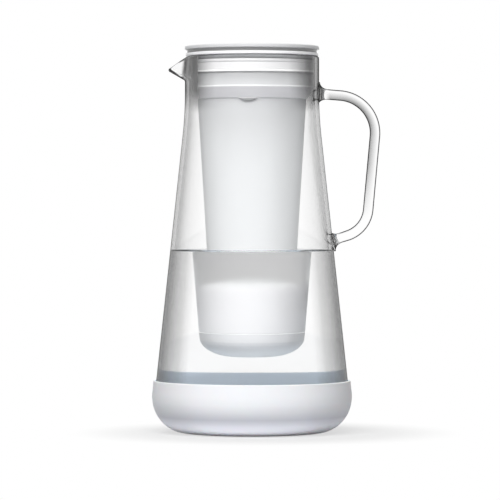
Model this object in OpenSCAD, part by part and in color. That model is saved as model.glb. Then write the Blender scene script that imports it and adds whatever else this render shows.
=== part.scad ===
// Water filter pitcher with flip lid.
// A tapered glass jug with a rod handle and a pulled spout stands in a silicone boot. A hopper hangs
// in its neck with a membrane cartridge at the bottom, a carbon filter pulls off below it, and a
// lid with a hinged filling door closes the top.
// Origin at the centre of the underside, +Z up, spout along -X, handle along +X. Millimetres.

/* [Glass jug] */
// Height of the glass rim above the table
rim_z = 259.4; // [250:0.1:275]
// Outer radius of the neck
neck_r = 46.3; // [45.5:0.1:50]
// Height where the straight neck meets the tapered side
shoulder_z = 219.4; // [205:0.1:222]
// Length of the blend on each side of the shoulder
shoulder_blend = 14; // [4:0.5:16]
// Outer radius of the glass at its widest level
belly_r = 67.15; // [62:0.05:76]
// Height of the widest level of the glass
belly_z = 25; // [20:0.5:30]
// Radius of the flat underside
base_flat_r = 46; // [38:0.5:50]
// Thickness of the glass wall
glass_wall = 2.7; // [2:0.1:3]
// Thickness of the glass floor
glass_floor = 3.6; // [2.5:0.1:6]

/* [Spout] */
// How far the spout reaches past the neck
spout_reach = 10.6; // [7:0.1:14]
// How far the spout tip lies below the rim
spout_tip_drop = 10.2; // [8:0.1:12]
// How far the spout's root lies below the rim
spout_root_drop = 16.6; // [14:0.1:20]
// Half of the angle that the spout takes of the neck
spout_half_angle = 16; // [13:0.5:20]
// Thickness of the glass at the spout's edges
spout_edge = 2.6; // [2:0.1:3]

/* [Handle] */
// Thickness of the glass rod
handle_d = 7.2; // [6:0.1:9]
// Thickness of the rod where the lower arm meets the jug
handle_low_d = 6.4; // [5:0.1:8]
// Depth of the upper joint below the rim
handle_top_drop = 25.7; // [22:0.1:32]
// Angle by which the upper arm falls outward
handle_top_fall = 4.7; // [0:0.1:8]
// Distance from the neck to the outer corner of the handle
handle_reach = 40.9; // [36:0.1:50]
// Height of the lower joint
handle_low_z = 132.5; // [110:0.1:145]
// Angle by which the lower arm rises outward
handle_low_rise = 18.2; // [8:0.1:26]
// Angle by which the grip leans inward going down
handle_lean = 5.2; // [2:0.1:8]
// Radius of the upper bend at the rod's centre
handle_top_bend = 26; // [18:0.5:30]
// Radius of the lower bend at the rod's centre
handle_low_bend = 20.7; // [12:0.1:24]
// Widening of the rod's radius where it is fused to the jug
flare_r = 4.4; // [2:0.1:6]
// Length of the widened end
flare_len = 6; // [3:0.1:9]

/* [Boot] */
// Thickness of the boot's wall
boot_wall = 1.8; // [1.4:0.1:3]
// Thickness of the boot's floor
boot_floor = 2.4; // [1.6:0.1:4]
// Height of the boot's rim
boot_rim_z = 36; // [32:0.5:60]
// Clearance between the glass and the boot
boot_fit = 0.05; // [0.03:0.01:0.2]

/* [Hopper ring] */
// Gap between the glass rim and the flange that rests on it
seat_gap = 0.2; // [0.1:0.05:0.4]
// Thickness of the flange
flange_t = 2; // [1.6:0.1:3]
// How far the flange's edge lies inside the neck's outer face
flange_inset = 0.7; // [0.3:0.1:1.2]
// Clearance between the ring and the inside of the neck
ring_clearance = 1.3; // [1.1:0.1:2]
// Thickness of the ring's wall
ring_wall = 2.2; // [2:0.1:2.8]
// Height of the ring's straight part below the flange
ring_drop = 22.2; // [19:0.1:26]
// Height of the taper below the straight part
ring_taper = 7.5; // [5:0.1:10]
// How far the ring's foot overhangs the cone
ring_overhang = 0.55; // [0.5:0.05:0.9]
// Length of the spigot that plugs into the cone
spigot_len = 8; // [7:0.1:12]
// Thickness of the spigot's wall
spigot_wall = 2.2; // [2:0.1:3]
// Clearance between the spigot and the cone
spigot_fit = 0.1; // [0.05:0.01:0.2]
// How far the pouring flat is cut back from the cone's top radius
pour_setback = 0.95; // [0.5:0.05:1.1]
// Width of the locking tab at the front
tab_w = 14; // [10:0.5:34]
// Drop of the locking tab below the ring's foot
tab_drop = 2.6; // [2:0.1:4]
// Angle of the locking tab from the front, towards the spout
tab_turn = 4; // [-10:1:10]
// How far the locking tab's face lies behind the edge of the ring's foot
tab_setback = 0.15; // [0.1:0.05:0.4]
// Depth of the locking tab's root in the ring
tab_root = 0.4; // [0.2:0.1:1]

/* [Seals] */
// Depth of the neck gasket's upper edge below the flange
gasket_drop = 3.2; // [2:0.1:5]
// Height of the neck gasket
gasket_h = 8.8; // [6:0.1:11]
// Depth of the groove that holds the neck gasket
gasket_groove = 0.8; // [0.5:0.1:1]
// Clearance between the neck gasket and the glass
gasket_clearance = 0.4; // [0.3:0.05:0.8]
// Thickness of the O-rings' section
seal_d = 1.6; // [1.2:0.1:1.8]
// Clearance of a seal in its groove
seal_fit = 0.02; // [0.01:0.01:0.05]

/* [Hopper cone] */
// Outer radius of the cone at its top
cone_top_r = 37.45; // [36:0.05:39]
// Outer radius of the cone at its bottom
cone_bottom_r = 27.6; // [26:0.1:31]
// Length of the cone
cone_len = 161.7; // [140:0.1:172]
// Thickness of the cone's wall
cone_wall = 1.6; // [1.2:0.1:2]
// Gap between the ring's foot and the cone's upper edge
cone_joint_gap = 0.1; // [0.05:0.05:0.3]
// Thickness of the hopper's floor
hopper_floor = 2; // [1.6:0.1:3]
// Height of the skirt below the hopper's floor
skirt_h = 3; // [2.4:0.1:5]

/* [Membrane cartridge] */
// Height of the cartridge above its base, with its dome
membrane_h = 28.7; // [22:0.1:60]
// Rise of the dome
dome_rise = 9; // [4:0.5:10]
// Thickness of the cartridge's wall
membrane_wall = 1.5; // [1.2:0.1:2.5]
// Gap between the cartridge and the cone
membrane_gap = 0.7; // [0.4:0.1:1.2]
// Thickness of the cartridge's base
membrane_base_t = 3; // [2.6:0.1:5]
// Outer radius of the outlet pipe
outlet_r = 8; // [6.5:0.1:9]
// Thickness of the outlet pipe's wall
outlet_wall = 2.5; // [1.2:0.1:3]
// Length of the outlet pipe below the hopper's floor
outlet_len = 4.6; // [3:0.1:5]
// Clearance around the outlet pipe
outlet_fit = 0.3; // [0.15:0.05:0.5]
// Thickness of the potting plug
potting_t = 6; // [4:0.1:8]
// Thickness of a hollow fibre
fibre_d = 1.2; // [0.8:0.1:1.6]
// Radius of a fibre's bend
fibre_bend = 2; // [1.2:0.1:2.4]
// Height of a fibre's straight legs
fibre_leg = 8; // [5:0.1:9]
// Distance between neighbouring fibres
fibre_pitch = 8; // [7:0.1:10]
// Diameter of the inlet holes in the dome
inlet_d = 3; // [2:0.1:4]

/* [Carbon filter] */
// Gap between the cone and the cup that pulls off it
cup_gap = 0.3; // [0.2:0.05:0.6]
// Height of the cup
cup_h = 16.6; // [15.5:0.1:22]
// Width of the cup's rounded corner
cup_corner_w = 18; // [10:0.5:19]
// Height of the cup's rounded corner
cup_corner_h = 12.9; // [9:0.1:13.5]
// Thickness of the cup's wall
cup_wall = 1.6; // [1.2:0.1:2]
// Draft of the cup's side between its corner and its mouth
cup_draft = 0.3; // [0.1:0.1:0.6]
// Clearance between the filter layers and the cup
layer_fit = 0.05; // [0.03:0.01:0.1]
// Thickness of a fleece
fleece_t = 0.8; // [0.5:0.1:1.2]
// Thickness of the ion exchange bed
resin_t = 3.6; // [2:0.1:4]
// Thickness of the cap inside the cup
cap_t = 2.2; // [2:0.1:3]
// Clearance between the cap's boss and the skirt
cap_clearance = 0.6; // [0.4:0.1:1]
// Diameter of the outlet holes
outlet_hole_d = 2.4; // [1.5:0.1:3]
// Radius of the circle of outlet holes
outlet_hole_ring = 11; // [8:0.1:14]

/* [Lid] */
// Thickness of the lid's disc
lid_t = 2.6; // [2.4:0.1:3.2]
// Radius of the rounding along the disc's edge
lid_edge = 0.9; // [0.4:0.1:1.1]
// Height of the groove between the disc and the flange
lid_groove_h = 2.1; // [1.9:0.1:3]
// Depth of the groove behind the disc's edge
lid_groove_depth = 1.7; // [1:0.1:2]
// Gap between the lid and the flange
lid_gap = 0.2; // [0.1:0.05:0.4]
// Depth of the skirt below the disc
lid_skirt_h = 11.7; // [8:0.1:16]
// Thickness of the skirt
lid_skirt_wall = 1.8; // [1.4:0.1:2.2]
// Clearance between the skirt and the ring
lid_skirt_fit = 0.4; // [0.3:0.05:0.6]
// Width of the lid gasket
lid_gasket_w = 2.4; // [1.6:0.1:2.6]
// Thickness of the lid gasket
lid_gasket_t = 1; // [0.6:0.1:1.2]

/* [Filling door] */
// Radius of the door's opening
door_r = 30; // [26:0.1:30]
// Gap around the door
door_gap = 0.4; // [0.3:0.05:0.6]
// Thickness of the door
door_t = 2; // [1.6:0.1:2]
// Distance of the hinge line from the jug's axis
hinge_x = 20; // [16:0.1:21]
// Radius of the hinge barrel
barrel_r = 2.2; // [2:0.05:2.2]
// Length of the hinge barrel
barrel_len = 35.8; // [28:0.1:36]
// Diameter of the hinge pins
pin_d = 1.8; // [1.4:0.1:2]
// Running clearance around the pins
pin_fit = 0.06; // [0.04:0.01:0.1]
// Length of each pin
pin_len = 9; // [7:0.1:11]
// Depth of each pin in its lug
pin_seat = 4; // [3:0.1:4.5]
// Width of the ledge under the door
ledge_w = 2.6; // [2:0.1:3]
// Thickness of the wall around the opening
frame_wall = 1.6; // [1.2:0.1:2]
// Thickness of the door gasket
door_gasket_t = 0.8; // [0.5:0.1:1]
// Radius of the finger recess
finger_r = 7; // [5:0.1:9]
// Depth of the finger recess
finger_depth = 1.3; // [0.8:0.1:1.6]

/* [Hidden] */
$fn = 96;

far = 200;
tiny = 0.01;
foot_steps = 10;
blend_steps = 6;
edge_steps = 6;

// Heights, from the table up
glass_z = boot_floor + boot_fit;
inner_floor_z = glass_z + glass_floor;
flange_z = rim_z + seat_gap;
flange_top_z = flange_z + flange_t;
taper_z = flange_z - ring_drop;
ring_foot_z = taper_z - ring_taper;
cone_top_z = ring_foot_z - cone_joint_gap;
cone_bottom_z = cone_top_z - cone_len;
floor_z = cone_bottom_z + skirt_h;
base_z = floor_z + hopper_floor;
housing_z = base_z + membrane_base_t;
potting_top_z = housing_z + potting_t;
cup_top_z = cone_bottom_z - cup_gap;
cup_z = cup_top_z - cup_h;
cap_z = cup_top_z - cap_t;
boss_top_z = floor_z - cup_gap;
lid_z = flange_top_z + lid_gap + lid_groove_h;
collar_z = flange_top_z + lid_gap;
lid_top_z = lid_z + lid_t;
hinge_z = lid_top_z - barrel_r;
door_z = lid_top_z - door_t;
ledge_top_z = door_z - door_gasket_t - cup_gap;

// Radii, from the neck inward
neck_in_r = neck_r - glass_wall;
flange_r = neck_r - flange_inset;
ring_r = neck_in_r - ring_clearance;
ring_in_r = ring_r - ring_wall;
ring_foot_r = cone_top_r + ring_overhang;
pour_flat = cone_top_r - pour_setback;
pour_flat_in = pour_flat - ring_wall;
skirt_r = ring_in_r - lid_skirt_fit;
skirt_in_r = skirt_r - lid_skirt_wall;
skirt_flat = pour_flat_in - lid_skirt_fit;
skirt_flat_in = skirt_flat - lid_skirt_wall;
collar_r = neck_r - lid_groove_depth;
outlet_hole_r = outlet_r + outlet_fit;
socket_r = outlet_r + outlet_fit;

// The door's round part is centred so that its frame laps into the skirt's flat
frame_lap = 0.5;
door_x = skirt_flat_in + frame_lap - door_r - frame_wall;
hinge_room = 4;
hinge_back = barrel_r + 0.8;
// The door's cut edge swings past the lid's edge, so its gap is wider than the round one
door_back_gap = norm([hinge_room + door_gap / 2, lid_top_z - hinge_z]) - hinge_room;

function unit(v) = v / norm(v);
function heading(v) = atan2(v.y, v.x);
function flip(list) = [for (i = [len(list) - 1:-1:0]) list[i]];
function ends(list) = list[len(list) - 1];
function arc_pts(c, a, b, from, to, steps) =
    [for (i = [0:steps]) let (t = from + (to - from) * i / steps) c + [a * cos(t), b * sin(t)]];
function curve_pts(p, c, q, steps) =
    [for (i = [0:steps]) let (t = i / steps) (1 - t) ^ 2 * p + 2 * t * (1 - t) * c + t ^ 2 * q];

// The jug's surfaces: a flat, an elliptical corner, a straight taper and a blend into the neck.
// Each surface lies inset from the outer glass and has its own floor height.
function corner_a(inset) = belly_r - inset - base_flat_r;
function corner_b(floor_at) = belly_z - floor_at;
function side_start(inset, floor_at) =
    let (
        across = (neck_r - inset - base_flat_r) / corner_a(inset),
        up = (shoulder_z - belly_z) / corner_b(floor_at)
    )
    atan2(up, across) - acos(1 / norm([across, up]));
function corner_pts(inset, floor_at) =
    arc_pts([base_flat_r, belly_z], corner_a(inset), corner_b(floor_at),
        -90, side_start(inset, floor_at), foot_steps);
function side_r(z, inset, floor_at) =
    let (p = ends(corner_pts(inset, floor_at)))
    p.x + (neck_r - inset - p.x) * (z - p.y) / (shoulder_z - p.y);
function shoulder_pts(inset, floor_at) =
    let (low_z = shoulder_z - shoulder_blend)
    curve_pts([side_r(low_z, inset, floor_at), low_z], [neck_r - inset, shoulder_z],
        [neck_r - inset, shoulder_z + shoulder_blend], blend_steps);

// The cone's outer radius and the cup's outline
function cone_r(z) = cone_bottom_r + (cone_top_r - cone_bottom_r) * (z - cone_bottom_z) / cone_len;
function cone_in_r(z) = cone_r(z) - cone_wall;
cup_side_r = cone_bottom_r - cup_draft;
cup_flat_r = cup_side_r - cup_corner_w;
function cup_pts(inset) = concat(
    [[0, cup_z + inset]],
    arc_pts([cup_flat_r, cup_z + cup_corner_h], cup_corner_w - inset, cup_corner_h - inset, -90, 0, foot_steps),
    [[cone_bottom_r - inset, cup_top_z], [0, cup_top_z]]
);

module revolve(points) rotate_extrude() polygon(points);

module tube(r_out, r_in, z0, z1) {
    translate([0, 0, z0]) difference() {
        cylinder(r = r_out, h = z1 - z0);
        translate([0, 0, -1]) cylinder(r = r_in, h = z1 - z0 + 2);
    }
}

module o_ring(r_mid, z) rotate_extrude() translate([r_mid, z]) circle(d = seal_d, $fn = 32);

// Everything at x below the given one, between two heights
module slab_left(x, z0, z1) translate([x - far, -far / 2, z0]) cube([far, far, z1 - z0]);

// ---------------------------------------------------------------- glass and boot

module glass_outside() {
    revolve(concat(
        [[0, glass_z]], corner_pts(0, glass_z), shoulder_pts(0, glass_z), [[neck_r, rim_z], [0, rim_z]]
    ));
}

spout_tip_x = neck_r + spout_reach - spout_edge / 2;
spout_root_z = rim_z - spout_root_drop;
spout_tip_z = rim_z - spout_tip_drop;

module spout_outside() {
    hull() {
        for (side = [-1, 1])
            rotate(180 + side * spout_half_angle)
                translate([neck_r - spout_edge / 2, 0, rim_z - 7])
                    cylinder(d = spout_edge, h = 6, $fn = 32);
        translate([-neck_r + spout_edge / 2, 0, spout_root_z]) cylinder(d = spout_edge, h = 4, $fn = 32);
        translate([-spout_tip_x, 0, spout_tip_z]) sphere(d = spout_edge, $fn = 32);
    }
}

module spout_inside() {
    side_step = asin(spout_edge / neck_r);
    hull() {
        for (side = [-1, 1], inset = [spout_edge / 2, glass_wall + 2])
            rotate(180 + side * (spout_half_angle - side_step))
                translate([neck_r - inset, 0, rim_z - 6])
                    cylinder(r = 0.5, h = 20, $fn = 32);
        translate([-neck_in_r + 1, 0, spout_root_z + spout_edge * 0.8]) cylinder(r = 0.5, h = 20, $fn = 32);
        translate([-spout_tip_x + spout_edge, 0, spout_tip_z + 0.6]) cylinder(r = 0.6, h = 20, $fn = 32);
    }
}

module glass_jug() {
    edge = glass_wall / 2;
    color([0.86, 0.92, 0.94, 0.45]) difference() {
        union() {
            revolve(concat(
                [[0, glass_z]],
                corner_pts(0, glass_z),
                shoulder_pts(0, glass_z),
                arc_pts([neck_r - edge, rim_z - edge], edge, edge, 0, 180, edge_steps),
                flip(shoulder_pts(glass_wall, inner_floor_z)),
                flip(corner_pts(glass_wall, inner_floor_z)),
                [[0, inner_floor_z]]
            ));
            spout_outside();
        }
        spout_inside();
    }
}

handle_top_joint = [neck_r, rim_z - handle_top_drop];
handle_top_corner = handle_top_joint + handle_reach * [1, -tan(handle_top_fall)];
handle_low_joint = [side_r(handle_low_z, 0, glass_z), handle_low_z];
grip_way = [-sin(handle_lean), -cos(handle_lean)];
top_way = unit(handle_top_corner - handle_top_joint);
low_way = [-cos(handle_low_rise), -sin(handle_low_rise)];
handle_low_corner = handle_top_corner
    + grip_way * cross(handle_low_joint - handle_top_corner, low_way) / cross(grip_way, low_way);
function bend_len(way_in, way_out, r) = r * tan((heading(way_in) - heading(way_out)) / 2);
top_bend_len = bend_len(top_way, grip_way, handle_top_bend);
low_bend_len = bend_len(grip_way, low_way, handle_low_bend);

// A straight stretch of rod between two points of the handle's plane. It is a hair thinner than the
// bends and laps into them, so that they join cleanly.
rod_step = 0.1;
rod_lap = 0.5;
module rod(p, q, d0, d1) {
    translate(p) rotate(heading(q - p)) rotate([0, 90, 0]) translate([0, 0, -rod_lap])
        cylinder(d1 = d0 - rod_step, d2 = d1 - rod_step, h = norm(q - p) + 2 * rod_lap);
}

// A clockwise bend of the rod around the corner point
module rod_bend(corner, way_in, way_out, r, d) {
    turn = heading(way_in) - heading(way_out);
    start = corner - way_in * bend_len(way_in, way_out, r);
    translate(start + r * [way_in.y, -way_in.x]) rotate(heading(way_in) + 90 - turn)
        rotate_extrude(angle = turn) translate([r, 0]) circle(d = d);
}

// The rod's trumpet-shaped end on the glass wall, pointing along the given way
module rod_flare(p, way, d) {
    translate(p) rotate(heading(way)) rotate([0, 90, 0]) revolve(concat(
        [[0, -flare_r], [d / 2 + flare_r, -flare_r]],
        arc_pts([d / 2 + flare_r, flare_len], -flare_r, -flare_len, 90, 0, edge_steps),
        [[0, flare_len]]
    ));
}

module glass_handle() {
    top_start = handle_top_joint + top_way * flare_len;
    top_end = handle_top_corner - top_way * top_bend_len;
    grip_start = handle_top_corner + grip_way * top_bend_len;
    grip_end = handle_low_corner - grip_way * low_bend_len;
    low_start = handle_low_corner + low_way * low_bend_len;
    low_end = handle_low_joint - low_way * flare_len;
    color([0.9, 0.94, 0.96, 0.6]) difference() {
        rotate([90, 0, 0]) union() {
            rod(top_start, top_end, handle_d, handle_d);
            rod_bend(handle_top_corner, top_way, grip_way, handle_top_bend, handle_d);
            rod(grip_start, grip_end, handle_d, handle_d);
            rod_bend(handle_low_corner, grip_way, low_way, handle_low_bend, handle_d);
            rod(low_start, low_end, handle_d, handle_low_d);
            rod_flare(handle_top_joint, top_way, handle_d);
            rod_flare(handle_low_joint, -low_way, handle_low_d);
        }
        glass_outside();
    }
}

module base_boot() {
    outer = -boot_fit - boot_wall;
    edge = boot_wall / 2;
    rim_r = side_r(boot_rim_z - edge, outer, 0);
    color([0.95, 0.95, 0.96]) revolve(concat(
        [[0, 0]],
        corner_pts(outer, 0),
        arc_pts([rim_r - edge, boot_rim_z - edge], edge, edge, 0, 180, edge_steps),
        flip(corner_pts(-boot_fit, boot_floor)),
        [[0, boot_floor]]
    ));
}

// ---------------------------------------------------------------- hopper

seal_r = seal_d / 2;
ring_seal_z = ring_foot_z - spigot_len / 2;
ring_seal_r = cone_in_r(ring_seal_z) - seal_r - seal_fit;
gasket_top_z = flange_z - gasket_drop;
gasket_z = gasket_top_z - gasket_h;

module hopper_ring() {
    spigot_end_z = ring_foot_z - spigot_len;
    spigot_top_r = cone_in_r(cone_top_z) - spigot_fit;
    spigot_end_r = cone_in_r(spigot_end_z) - spigot_fit;
    color([0.93, 0.93, 0.93, 0.85]) {
        difference() {
            union() {
                revolve([
                    [flange_r, flange_top_z], [ring_in_r, flange_top_z],
                    [ring_in_r, taper_z + 1], [spigot_top_r - spigot_wall, ring_foot_z],
                    [spigot_end_r - spigot_wall, spigot_end_z], [spigot_end_r, spigot_end_z],
                    [spigot_top_r, ring_foot_z - cone_joint_gap], [spigot_top_r, ring_foot_z],
                    [ring_foot_r, ring_foot_z], [ring_r, taper_z], [ring_r, flange_z], [flange_r, flange_z]
                ]);
                // flat wall behind the pouring channel, and the roof over it
                intersection() {
                    revolve([
                        [0, ring_foot_z], [ring_foot_r, ring_foot_z], [ring_r, taper_z], [ring_r, flange_z],
                        [flange_r, flange_z], [flange_r, flange_top_z], [0, flange_top_z]
                    ]);
                    difference() {
                        slab_left(-pour_flat_in, ring_foot_z, flange_top_z);
                        slab_left(-pour_flat, ring_foot_z - 1, flange_z);
                    }
                }
                rotate(-tab_turn) lock_tab();
            }
            slab_left(-pour_flat, cone_top_z, flange_z);
            tube(ring_r + 1, ring_r - gasket_groove, gasket_z, gasket_top_z);
            tube(ring_seal_r + far / 2, ring_seal_r - seal_r - seal_fit,
                ring_seal_z - seal_r - seal_fit, ring_seal_z + seal_r + seal_fit);
        }
    }
}

// A lens-shaped tab that hangs from the ring's foot over the front of the cone
module lock_tab() {
    lens_r = (tab_w ^ 2 / 4 + tab_drop ^ 2) / (2 * tab_drop);
    intersection() {
        tube(ring_foot_r - tab_setback, cone_top_r + spigot_fit, ring_foot_z - tab_drop - 1, ring_foot_z + tab_root);
        translate([0, 0, ring_foot_z - tab_drop + lens_r]) rotate([90, 0, 0]) cylinder(r = lens_r, h = far);
    }
}

module hopper_cone() {
    color([0.9, 0.92, 0.93, 0.6]) revolve([
        [cone_top_r, cone_top_z], [cone_bottom_r, cone_bottom_z],
        [cone_in_r(cone_bottom_z), cone_bottom_z], [cone_in_r(floor_z), floor_z],
        [outlet_hole_r, floor_z], [outlet_hole_r, base_z],
        [cone_in_r(base_z), base_z], [cone_in_r(cone_top_z), cone_top_z]
    ]);
}

module neck_gasket() {
    color([0.96, 0.96, 0.95]) difference() {
        tube(neck_in_r - gasket_clearance, ring_r - gasket_groove + seal_fit, gasket_z, gasket_top_z);
        slab_left(-pour_flat, gasket_z - 1, gasket_top_z + 1);
    }
}

module ring_seal() color([0.3, 0.3, 0.32]) o_ring(ring_seal_r, ring_seal_z);

// ---------------------------------------------------------------- membrane cartridge

shell_z = housing_z + membrane_h;
dome_z = shell_z - dome_rise;
function shell_r(z) = cone_in_r(z) - membrane_gap;
inlet_ring = shell_r(dome_z) * 0.6;
inlet_count = 12;
base_seal_r = outlet_hole_r + seal_d;

module membrane_housing() {
    color([0.97, 0.97, 0.97]) difference() {
        revolve(concat(
            [[shell_r(housing_z), housing_z]],
            arc_pts([0, dome_z], shell_r(dome_z), dome_rise, 0, 90, foot_steps),
            arc_pts([0, dome_z], shell_r(dome_z) - membrane_wall, dome_rise - membrane_wall, 90, 0, foot_steps),
            [[shell_r(housing_z) - membrane_wall, housing_z]]
        ));
        for (i = [0:inlet_count - 1])
            rotate(i * 360 / inlet_count)
                translate([inlet_ring, 0, dome_z]) cylinder(d = inlet_d, h = dome_rise + 1);
    }
}

module membrane_base() {
    bore_r = outlet_r - outlet_wall;
    groove_h = seal_d + seal_fit;
    color([0.94, 0.94, 0.95]) difference() {
        union() {
            translate([0, 0, base_z]) cylinder(r = shell_r(base_z), h = membrane_base_t);
            translate([0, 0, floor_z - outlet_len]) cylinder(r = outlet_r, h = outlet_len + hopper_floor + 1);
        }
        translate([0, 0, floor_z - outlet_len - 1]) cylinder(r = bore_r, h = far);
        tube(base_seal_r + seal_r + seal_fit, base_seal_r - seal_r - seal_fit, base_z - 1, base_z + groove_h);
    }
}

module potting_plug() {
    bore_r = outlet_r - outlet_wall;
    plug_r = shell_r(housing_z) - membrane_wall - layer_fit;
    color([0.93, 0.9, 0.8]) difference() {
        translate([0, 0, housing_z]) cylinder(r = plug_r, h = potting_t);
        translate([0, 0, housing_z - 1]) cylinder(r1 = bore_r * 2, r2 = bore_r, h = potting_t / 2 + 1);
    }
}

module fibre_loop() {
    for (side = [-1, 1]) translate([side * fibre_bend, 0, 0]) cylinder(d = fibre_d, h = fibre_leg, $fn = 24);
    translate([0, 0, fibre_leg]) rotate([90, 0, 0])
        rotate_extrude(angle = 180) translate([fibre_bend, 0]) circle(d = fibre_d, $fn = 24);
}

module hollow_fibres() {
    room = shell_r(housing_z) - membrane_wall - fibre_bend - fibre_d - 1;
    rows = floor(room / fibre_pitch);
    color([0.96, 0.95, 0.9]) for (i = [-rows:rows], j = [-rows:rows]) {
        at = fibre_pitch * [i, j];
        if (norm(at) < room) translate([at.x, at.y, potting_top_z]) fibre_loop();
    }
}

module membrane_seal() color([0.3, 0.3, 0.32]) o_ring(base_seal_r, base_z + seal_r);

// ---------------------------------------------------------------- carbon filter

cap_r = cup_side_r + cup_draft * (cap_z - cup_z - cup_corner_h) / (cup_h - cup_corner_h) - cup_wall - layer_fit;
inlet_fleece_z = cap_z - fleece_t;
resin_z = inlet_fleece_z - resin_t;
carbon_z = cup_z + cup_wall + fleece_t;
cap_seal_r = socket_r + seal_r;
cap_seal_z = (cap_z + boss_top_z) / 2;

// What fills the cup between two heights
module cup_fill(z0, z1) {
    intersection() {
        revolve(cup_pts(cup_wall + layer_fit));
        translate([0, 0, z0]) cylinder(r = far, h = z1 - z0);
    }
}

module carbon_cup() {
    holes = 12;
    color([0.95, 0.95, 0.95]) difference() {
        revolve(cup_pts(0));
        revolve(concat(cup_pts(cup_wall), [[0, cup_top_z + 1]]));
        for (i = [0:holes - 1])
            rotate(i * 360 / holes)
                translate([outlet_hole_ring, 0, cup_z - 1]) cylinder(d = outlet_hole_d, h = cup_wall + 4);
        translate([0, 0, cup_z - 1]) cylinder(d = outlet_hole_d, h = cup_wall + 4);
    }
}

module carbon_cap() {
    boss_r = cone_in_r(cone_bottom_z) - cap_clearance;
    color([0.92, 0.92, 0.93]) difference() {
        union() {
            translate([0, 0, cap_z]) cylinder(r = cap_r, h = cap_t);
            translate([0, 0, cap_z]) cylinder(r = boss_r, h = boss_top_z - cap_z);
        }
        translate([0, 0, cap_z - 1]) cylinder(r = socket_r, h = boss_top_z - cap_z + 2);
        tube(cap_seal_r + seal_r + seal_fit, socket_r - tiny, cap_seal_z - seal_r - seal_fit,
            cap_seal_z + seal_r + seal_fit);
    }
}

module cap_seal() color([0.3, 0.3, 0.32]) o_ring(cap_seal_r, cap_seal_z);
module inlet_fleece() color([0.98, 0.98, 0.97]) cup_fill(inlet_fleece_z, cap_z);
module ion_resin_bed() color([0.85, 0.66, 0.35]) cup_fill(resin_z, inlet_fleece_z);
module carbon_bed() color([0.13, 0.13, 0.14]) cup_fill(carbon_z, resin_z);
module outlet_fleece() color([0.98, 0.98, 0.97]) cup_fill(cup_z + cup_wall + layer_fit, carbon_z);

// ---------------------------------------------------------------- lid and filling door

// A round plate with one side cut flat towards the spout
module flat_sided(r, flat, z0, z1) {
    difference() {
        translate([0, 0, z0]) cylinder(r = r, h = z1 - z0);
        slab_left(-flat, z0 - 1, z1 + 1);
    }
}

// The door's outline, grown by the given gap: a round plate cut off at cut_x, before the hinge,
// with a narrower tongue that runs back to the hinge
module door_plan(grow, cut_x, back, z0, z1) {
    intersection() {
        translate([-door_x, 0, z0]) cylinder(r = door_r - door_gap + grow, h = z1 - z0);
        slab_left(cut_x, z0, z1);
    }
    translate([0, -barrel_len / 2 - grow, z0]) cube([back, barrel_len + 2 * grow, z1 - z0]);
}

module lid_cover() {
    frame_r = door_r + frame_wall;
    lug_y = barrel_len / 2 + door_gap;
    lug_x = hinge_x - hinge_room;
    color([0.8, 0.8, 0.81]) difference() {
        union() {
            revolve(concat(
                [[0, lid_z]],
                arc_pts([neck_r - lid_edge, lid_z + lid_edge / 2], lid_edge, lid_edge / 2, -90, 0, edge_steps),
                arc_pts([neck_r - lid_edge, lid_top_z - lid_edge], lid_edge, lid_edge, 0, 90, edge_steps),
                [[0, lid_top_z]]
            ));
            difference() {
                translate([0, 0, collar_z]) cylinder(r = collar_r, h = lid_z - collar_z + tiny);
                flat_sided(skirt_in_r, skirt_flat_in, collar_z - 1, lid_z);
            }
            difference() {
                flat_sided(skirt_r, skirt_flat, lid_z - lid_skirt_h, lid_z);
                flat_sided(skirt_in_r, skirt_flat_in, lid_z - lid_skirt_h - 1, lid_z);
            }
            // wall and ledge around the opening, lugs for the pins
            translate([-door_x, 0, 0]) difference() {
                tube(frame_r, door_r - ledge_w, collar_z, lid_z + tiny);
                translate([door_x + lug_x - 1, -far / 2, collar_z - 1]) cube([far, far, lid_z]);
            }
            for (side = [-1, 1])
                translate([lug_x, side * (lug_y + pin_seat / 2 + 0.5) - pin_seat / 2 - 0.5, collar_z])
                    cube([hinge_room + hinge_back, pin_seat + 1, lid_z - collar_z + tiny]);
        }
        door_plan(door_gap, lug_x, hinge_x + hinge_back, ledge_top_z, lid_top_z + 1);
        translate([0, -lug_y, collar_z - 1])
            cube([hinge_x + hinge_back, 2 * lug_y, lid_top_z]);
        translate([hinge_x, 0, hinge_z]) rotate([90, 0, 0])
            cylinder(d = pin_d + 2 * seal_fit, h = 2 * (lug_y + pin_seat), center = true, $fn = 48);
        translate([-door_x - door_r, 0, lid_top_z - finger_depth]) cylinder(r = finger_r, h = far);
        tube(collar_r - 1, collar_r - 1 - lid_gasket_w, collar_z - 1, collar_z + lid_gasket_t);
    }
}

module lid_gasket() {
    color([0.9, 0.9, 0.9])
        tube(collar_r - 1 - seal_fit, collar_r - 1 - lid_gasket_w + seal_fit, collar_z, collar_z + lid_gasket_t);
}

module hinge_pins() {
    start_y = barrel_len / 2 + door_gap + pin_seat - seal_fit - pin_len;
    color([0.75, 0.76, 0.78]) for (side = [-1, 1])
        translate([hinge_x, side * start_y, hinge_z]) rotate([-side * 90, 0, 0])
            cylinder(d = pin_d, h = pin_len, $fn = 48);
}

module filling_door() {
    color([0.82, 0.82, 0.83]) difference() {
        union() {
            door_plan(0, hinge_x - hinge_room - door_back_gap, hinge_x, door_z, lid_top_z);
            translate([hinge_x, 0, hinge_z]) rotate([90, 0, 0])
                cylinder(r = barrel_r, h = barrel_len, center = true);
        }
        translate([hinge_x, 0, hinge_z]) rotate([90, 0, 0])
            cylinder(d = pin_d + 2 * pin_fit, h = far, center = true, $fn = 48);
    }
}

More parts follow.
